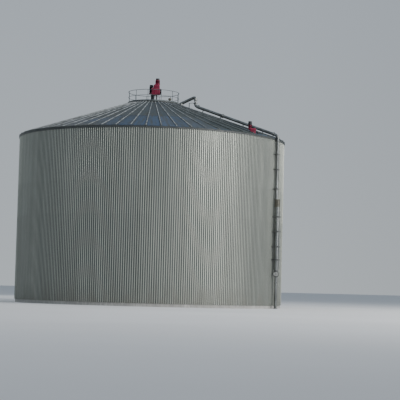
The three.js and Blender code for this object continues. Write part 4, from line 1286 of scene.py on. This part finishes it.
def weld(shape, place, radius, heading=UP):
    """A ring of weld bead round a pipe"""
    ring(shape, radius, WELD_SIZE, along(place, heading), 32, 6)


def on_outlet(radius):
    return on_line(radius, OUTLET_FOOT_HEIGHT + OUTLET_SLOPE * (radius - OUTLET_FOOT))


pipe_steel = new_finish("pipe_steel", metallic=0.85)
tarnish = grain(pipe_steel, 1.6, (1, 1, 0.35), 8)
tint(pipe_steel, tarnish, (0.27, 0.28, 0.27), (0.14, 0.145, 0.14))
dull(pipe_steel, tarnish, 0.24, 0.42)
dent(pipe_steel, grain(pipe_steel, 30, detail=3), 0.0008, 0.3)

shape = bmesh.new()
outlet_bend = bend(on_outlet(OUTLET_TURN), on_outlet(DROP_PLACE), on_line(DROP_PLACE, DROP_TOP + 0.05))
sweep(shape, [on_outlet(OUTLET_FOOT), *outlet_bend, on_line(DROP_PLACE, DROP_TOP)], OUTLET_RADIUS)
for place in OUTLET_WELDS:
    weld(shape, on_outlet(place), OUTLET_RADIUS, on_outlet(1) - on_outlet(0))
foot = roof_height(NOZZLE_PLACE + NOZZLE_RADIUS)
head = on_outlet(NOZZLE_PLACE).z
dome = [(NOZZLE_RADIUS * math.cos(turn), head + NOZZLE_RISE * math.sin(turn)) for turn in NOZZLE_ARC]
nozzle_outline = [(0, foot), (NOZZLE_RADIUS, foot), *dome, (0, head + NOZZLE_RISE)]
turned(shape, nozzle_outline, upright_at(NOZZLE_PLACE, 0), 40)
collar = down_slope(PIPE_AZIMUTH, NOZZLE_PLACE, STRIP_HEIGHT)
collar_rim = COLLAR_RADIUS - 0.008, COLLAR_TOP
collar_outline = [(0, -0.07), (COLLAR_RADIUS, -0.07), (COLLAR_RADIUS, 0.006), collar_rim, (0, COLLAR_TOP)]
turned(shape, collar_outline, collar, 40)
close_up(shape)
bolt_ring(shape, 12, COLLAR_RADIUS - 0.035, collar @ shift(z=COLLAR_TOP), 0.012)
finish_piece("outlet_pipe", shape, pipe_steel, "gas_outlet_pipe")

# Drop leg: a narrower stainless pipe between two bolted flanges, where gas falls from the outlet to the
# roof run. A stay of square bar holds its foot, on a post that stands on the roof rib.
DROP_RADIUS = 0.12
DROP_FOOT = 20.27
FLANGE_REACH = 0.065
STAY_START = 3.98
STAY_HALF = 0.03
STAY_PLATE = (0.075, 0.043, 0.008)
PIPE_BOLT = 0.011


def flange(shape, stand, radius, thickness=RING_THICKNESS):
    """A flange round a pipe of that radius, on its stand's Z axis, with bolt heads on its far face"""
    hub = [(radius + 0.018, thickness), (radius, thickness + 0.03), (0, thickness + 0.03)]
    turned(shape, [*disc(radius + FLANGE_REACH, 0, thickness)[:-1], *hub], stand, 40)
    bolt_ring(shape, 8, radius + 0.6 * FLANGE_REACH, stand @ shift(z=thickness), 0.013)


upside_down = swing(math.pi, "X")

shape = bmesh.new()
sweep(shape, [on_line(DROP_PLACE, DROP_FOOT + 0.01), on_line(DROP_PLACE, DROP_TOP - 0.01)], DROP_RADIUS)
flange(shape, upright_at(DROP_PLACE, DROP_FOOT), DROP_RADIUS)
flange(shape, upright_at(DROP_PLACE, DROP_TOP) @ upside_down, DROP_RADIUS)
close_up(shape)
stay_high = (DROP_PLACE, STAY_HALF, DROP_FOOT + RING_THICKNESS)
block(shape, (STAY_START, -STAY_HALF, DROP_FOOT), stay_high, line, 0.006, 2)
post_low = (STAY_START, -STAY_HALF, roof_height(STAY_START + STAY_HALF) + STRIP_HEIGHT - 0.02)
block(shape, post_low, (STAY_START + 2 * STAY_HALF, STAY_HALF, DROP_FOOT + 0.01), line, 0.006, 2)
foot_plate = down_slope(PIPE_AZIMUTH, STAY_START + STAY_HALF, STRIP_HEIGHT)
block(shape, (-STAY_PLATE[0], -STAY_PLATE[1], 0), STAY_PLATE, foot_plate, 0.002)
bolts_at(shape, (-0.058, 0.058), [0], foot_plate @ shift(z=STAY_PLATE[2]), PIPE_BOLT)
finish_piece("drop_leg", shape, pipe_steel, "gas_drop_leg")

# Roof run: the stainless gas pipe along the roof, on saddles that stand on the rib and hold it with a
# strap. It has two flanged joints, ring welds and a small vent with a cap where it starts.
PIPE_RADIUS = 0.145
RUN_LINE_HEIGHT = 21.64
RUN_LINE_SLOPE = 0.35768
RUN_START = 5.08
RUN_END = 13.18
RUN_FLANGES = (7.7, 10.7)
RUN_WELDS = (5.08, 6.4, 9.1, 11.6)
SADDLE_PLACES = (5.5, 7.45, 9.9, 12.0)
SADDLE_HALF = 0.045
CLAMP_HALF = 0.03
CLAMP_THICKNESS = 0.006
VENT_PLACE = 5.1
VENT_RADIUS = 0.042
VENT_HEIGHT = 0.27

tilted = swing(QUARTER + math.atan(RUN_LINE_SLOPE), "Y")


def run_height(radius):
    return RUN_LINE_HEIGHT - RUN_LINE_SLOPE * radius


def along_run(radius):
    """A stand on the roof run with its Z axis along the pipe"""
    return upright_at(radius, run_height(radius)) @ tilted


def run_point(radius):
    return along_run(radius).translation


def clamp(shape, radius, sink, stand, steps):
    """A strap of flat bar round a pipe"""
    turned(shape, band(radius - sink, radius + CLAMP_THICKNESS, -CLAMP_HALF, CLAMP_HALF), stand, steps)


shape = bmesh.new()
run_heading = run_point(1) - run_point(0)
turn_start = on_line(DROP_PLACE, DROP_FOOT - 0.05)
run_bend = bend(turn_start, run_point(DROP_PLACE), run_point(RUN_START))
sweep(shape, [on_line(DROP_PLACE, DROP_FOOT), *run_bend, run_point(RUN_END)], PIPE_RADIUS)
flange(shape, upright_at(DROP_PLACE, DROP_FOOT) @ upside_down, PIPE_RADIUS)
for place in RUN_FLANGES:
    flange(shape, along_run(place), PIPE_RADIUS)
    flange(shape, along_run(place) @ upside_down, PIPE_RADIUS)
for place in RUN_WELDS:
    weld(shape, run_point(place), PIPE_RADIUS, run_heading)
for place in SADDLE_PLACES:
    saddle = down_slope(PIPE_AZIMUTH, place, STRIP_HEIGHT)
    lift = (run_height(place) - roof_height(place)) * math.cos(ROOF_ANGLE) - STRIP_HEIGHT - PIPE_RADIUS
    block(shape, (-SADDLE_HALF, -0.043, 0), (SADDLE_HALF, 0.043, 0.01), saddle, 0.002)
    block(shape, (-SADDLE_HALF, -0.006, 0.008), (SADDLE_HALF, 0.006, lift + 0.01), saddle)
    block(shape, (-0.006, -0.04, 0.008), (0.006, 0.04, lift + 0.03), saddle)
    clamp(shape, PIPE_RADIUS, 0.002, along_run(place), 32)
    for side in (-1, 1):
        ear = along_run(place) @ shift(0, side * (PIPE_RADIUS + 0.016))
        block(shape, (-0.016, -0.018, -CLAMP_HALF), (0.016, 0.018, CLAMP_HALF), ear, 0.003)
        bolt(shape, ear @ shift(-0.016) @ swing(-QUARTER, "Y"), PIPE_BOLT)
vent_foot = run_height(VENT_PLACE)
cap = vent_foot + VENT_HEIGHT
vent_outline = [
    (0, vent_foot), (VENT_RADIUS, vent_foot), (VENT_RADIUS, cap - 0.08), (0.62 * VENT_RADIUS, cap - 0.08),
    (0.62 * VENT_RADIUS, cap - 0.065), (2 * VENT_RADIUS, cap - 0.065), (2 * VENT_RADIUS, cap - 0.035),
    (1.6 * VENT_RADIUS, cap - 0.01), (0.6 * VENT_RADIUS, cap), (0, cap),
]
turned(shape, vent_outline, upright_at(VENT_PLACE, 0), 24)
close_up(shape)
finish_piece("roof_run", shape, pipe_steel, "roof_pipe")

# Eave bend: a long stainless bend that carries the pipe out over the flashing and down to the first
# flange of the downpipe. Its two ring welds show where the bent length starts and ends.
DOWN_PLACE = 13.605
ELBOW_TURN = 16.52

bend_foot = levels("downpipe_upper")[1]
shape = bmesh.new()
elbow_bend = bend(run_point(RUN_END + 0.05), run_point(DOWN_PLACE), on_line(DOWN_PLACE, ELBOW_TURN))
sweep(shape, [run_point(RUN_END), *elbow_bend, on_line(DOWN_PLACE, bend_foot)], PIPE_RADIUS)
flange(shape, along_run(RUN_END) @ upside_down, PIPE_RADIUS)
flange(shape, upright_at(DOWN_PLACE, bend_foot), PIPE_RADIUS)
weld(shape, run_point(RUN_END + 0.12), PIPE_RADIUS, run_heading)
weld(shape, on_line(DOWN_PLACE, ELBOW_TURN), PIPE_RADIUS)
close_up(shape)
finish_piece("eave_bend", shape, pipe_steel, "eave_elbow")

# Downpipe: a bare pipe with a flange at each end down to the expansion joint, and below it the same pipe
# in a jacket of lagging and sheet, with beads over its seams and a cone at its foot.
LOWER_PLACE = 13.705
JACKET_RADIUS = 0.235
JACKET_STEP = 1.0
JACKET_FOOT = 0.08
JACKET_CONE = 0.07
DOWN_WELD_STEP = 2.0
SEAM_START = 0.22
SEAM_STEP = 0.2
SEAM_TURN = math.radians(-60)

low, high = levels("downpipe_upper")
shape = bmesh.new()
sweep(shape, [on_line(DOWN_PLACE, low), on_line(DOWN_PLACE, high)], PIPE_RADIUS)
flange(shape, upright_at(DOWN_PLACE, low), PIPE_RADIUS)
flange(shape, upright_at(DOWN_PLACE, high) @ upside_down, PIPE_RADIUS)
for number in range(1, int((high - low) / DOWN_WELD_STEP)):
    weld(shape, on_line(DOWN_PLACE, low + number * DOWN_WELD_STEP), PIPE_RADIUS)
close_up(shape)
finish_piece("upper_downpipe", shape, pipe_steel, "downpipe_upper")

low, high = levels("downpipe_lower")
beads = int((high - low) / JACKET_STEP)
foot = low + JACKET_FOOT
cone_end = JACKET_RADIUS, foot + JACKET_CONE
jacket = [(0, foot), (PIPE_RADIUS, foot), cone_end, (JACKET_RADIUS, high), (0, high)]
shape = bmesh.new()
turned(shape, jacket, upright_at(LOWER_PLACE, 0))
flange(shape, upright_at(LOWER_PLACE, low), PIPE_RADIUS)
for number in range(1, beads + 1):
    weld(shape, on_line(LOWER_PLACE, low + number * JACKET_STEP), JACKET_RADIUS)
close_up(shape)
for number in range(5 * beads):
    seam = upright_at(LOWER_PLACE, low + SEAM_START + SEAM_STEP * number) @ swing(SEAM_TURN)
    screw(shape, seam @ shift(JACKET_RADIUS) @ lying_out, 0.008, 0.005)
finish_piece("lower_downpipe", shape, pipe_steel, "downpipe_lower")

# Pipe brackets: galvanised channels bolted across the ribs of the cladding, each with two arms that reach
# past the pipe, and a bar across their ends that clamps it with a half strap.
UPPER_BRACKETS = (14.94, 13.47, 11.57)
LOWER_BRACKETS = (8.87, 7.44, 5.98, 4.72)
BRACKET_HALF = 0.055
ARM_WIDTH = 0.05
CHANNEL_HALF = 0.42
CHANNEL_WALL = 0.006
CHANNEL_DEPTH = 0.03
CHANNEL_BACK = 13.3503
CHANNEL_FRONT = CHANNEL_BACK + CHANNEL_DEPTH

bracket_steel = new_finish("bracket_steel", 0.55, 0.5)
mottled(bracket_steel, 6, (0.09, 0.095, 0.095), (0.17, 0.17, 0.16))

inside = BRACKET_HALF - CHANNEL_WALL
floor_depth = CHANNEL_DEPTH - CHANNEL_WALL
channel = band(0, CHANNEL_DEPTH, -BRACKET_HALF, BRACKET_HALF)
channel += [(0, inside), (floor_depth, inside), (floor_depth, -inside), (0, -inside)]
brackets = [(height, DOWN_PLACE, PIPE_RADIUS) for height in UPPER_BRACKETS]
brackets += [(height, LOWER_PLACE, JACKET_RADIUS) for height in LOWER_BRACKETS]
shape = bmesh.new()
for height, place, radius in brackets:
    prism(shape, channel, 2 * CHANNEL_HALF, upright_at(CHANNEL_BACK, height))
    reach = place + radius + ARM_WIDTH
    stand = upright_at(0, height)
    for side in (-1, 1):
        near, far = sorted((side * (radius + 0.002), side * (radius + ARM_WIDTH)))
        arm_low, arm_high = (CHANNEL_FRONT - 0.002, near, -BRACKET_HALF), (reach, far, BRACKET_HALF)
        block(shape, arm_low, arm_high, stand, 0.005, 2)
        nuts = [(reach, side * (radius + 0.5 * ARM_WIDTH), z) for z in (-0.02, 0.02)]
        for nut in (*nuts, (CHANNEL_FRONT, side * (CHANNEL_HALF - 0.035), 0)):
            bolt(shape, stand @ shift(*nut) @ lying_out, PIPE_BOLT)
    bar_low = (reach - ARM_WIDTH + 0.001, -radius, -BRACKET_HALF)
    block(shape, bar_low, (reach - 0.004, radius, BRACKET_HALF), stand, 0.005, 2)
    clamp(shape, radius, 0.001, upright_at(place, height), 40)
close_up(shape)
finish_piece("pipe_brackets", shape, bracket_steel)

# Expansion joint: a wide bronze sleeve in which the two lengths slide, with a bolted ring at each end
# and one in the middle, and tie rods from ring to ring.
SLEEVE_RADIUS = 0.24
SLEEVE_RING = 0.285
SLEEVE_RING_THICKNESS = 0.06
SLEEVE_BOLTS = SLEEVE_RING - 0.02
TIE_RODS = 6

low, high = levels("expansion_joint")
height = high - low
stand = upright_at(LOWER_PLACE, low)
shape = bmesh.new()
turned(shape, band(0, SLEEVE_RADIUS, 0.002, height - 0.002), stand)
ring_feet = [share * (height - SLEEVE_RING_THICKNESS) for share in (0, 0.5, 1)]
for foot in ring_feet:
    turned(shape, disc(SLEEVE_RING, foot, foot + SLEEVE_RING_THICKNESS, 0.004), stand)
for number in range(TIE_RODS):
    rod = stand @ swing(2 * math.pi * number / TIE_RODS) @ shift(SLEEVE_BOLTS)
    drum(shape, 0.008, 0.01, height - 0.01, rod, 10)
close_up(shape)
for foot in ring_feet[:2]:
    bolt_ring(shape, TIE_RODS, SLEEVE_BOLTS, stand @ shift(z=foot + SLEEVE_RING_THICKNESS), 0.014)
finish_piece("pipe_sleeve", shape, bronze, "expansion_joint")

# Valve: a cast valve between flanges, with a round gear housing towards the front under a bright bolted
# cover, and a dark handwheel of bent bar with three spokes on its stem.
WHEEL_RADIUS = 0.28
WHEEL_TUBE = 0.024
WHEEL_REACH = 0.33
WHEEL_TURN = math.radians(20)
WHEEL_HUB = 0.022
BONNET_RADIUS = 0.19
BONNET_FRONT = 0.25
VALVE_SWELL = 0.025
VALVE_MIDDLE = 3.34
VALVE_LENGTH = 0.42

rim, body = PIPE_RADIUS + FLANGE_REACH, PIPE_RADIUS + VALVE_SWELL
half_valve = [(0, 0), (rim, 0), (rim, 0.035), (PIPE_RADIUS, 0.045), (PIPE_RADIUS, 0.09), (body, 0.13)]
gear_front = BONNET_FRONT - 0.03
gear_housing = [
    (0, 0.05), (0.15, 0.05), (0.15, 0.11), (BONNET_RADIUS - 0.004, 0.13), (BONNET_RADIUS, 0.14),
    (BONNET_RADIUS, gear_front), (0, gear_front),
]
shape = bmesh.new()
valve_foot = upright_at(LOWER_PLACE, VALVE_MIDDLE - VALVE_LENGTH / 2)
turned(shape, mirrored(half_valve, 0, VALVE_LENGTH), valve_foot)
stem = upright_at(LOWER_PLACE, VALVE_MIDDLE) @ swing(WHEEL_TURN) @ swing(QUARTER, "X")
turned(shape, gear_housing, stem, 40)
close_up(shape)
finish_piece("valve_body", shape, pipe_steel, "drain_valve")

bright_cover = new_finish("bright_cover", 0.45, 0.4)
mottled(bright_cover, 12, (0.55, 0.55, 0.52), (0.4, 0.4, 0.38))
stem_end = WHEEL_REACH - gear_front
cover_outline = [
    (0, -0.03), (BONNET_RADIUS, -0.03), (BONNET_RADIUS, -0.006), (BONNET_RADIUS - 0.006, 0), (0.06, 0),
    (0.05, 0.012), (0.032, 0.014), (0.03, 0.03), (0.018, 0.032), (0.018, stem_end), (0, stem_end),
]
shape = bmesh.new()
front = stem @ shift(z=BONNET_FRONT)
turned(shape, cover_outline, front, 40)
close_up(shape)
bolt_ring(shape, 8, BONNET_RADIUS - 0.025, front, 0.011)
finish_piece("valve_cover", shape, bright_cover)

shape = bmesh.new()
wheel = stem @ shift(z=WHEEL_REACH)
ring(shape, WHEEL_RADIUS, WHEEL_TUBE, wheel, 40, 10)
hub_outline = [(0, -WHEEL_HUB), (0.036, -WHEEL_HUB), (0.036, 0.018), (0.028, WHEEL_HUB), (0, WHEEL_HUB)]
turned(shape, hub_outline, wheel, 24)
for turn in (0, 120, 240):
    drum(shape, 0.013, 0.02, WHEEL_RADIUS, wheel @ swing(math.radians(turn)) @ lying_out, 10)
close_up(shape)
finish_piece("valve_handwheel", shape, dark_paint)

# Foot pipe: from the valve to the ground, with a flange at its top and a bolted foot plate. It is the
# same stainless pipe as above the valve, without a jacket.
FOOT_WELD = 1.6
FOOT_FLANGE = PIPE_RADIUS + 0.03
FOOT_THICKNESS = 0.03

foot_top = levels("foot_pipe")[1]
shape = bmesh.new()
sweep(shape, [on_line(LOWER_PLACE, 0.002), on_line(LOWER_PLACE, foot_top)], PIPE_RADIUS)
flange(shape, upright_at(LOWER_PLACE, foot_top) @ upside_down, PIPE_RADIUS)
flange(shape, upright_at(LOWER_PLACE, 0), FOOT_FLANGE, FOOT_THICKNESS)
weld(shape, on_line(LOWER_PLACE, FOOT_WELD), PIPE_RADIUS)
close_up(shape)
finish_piece("drain_pipe", shape, pipe_steel, "foot_pipe")

# The box round the visual model, without the floor.
low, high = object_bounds()
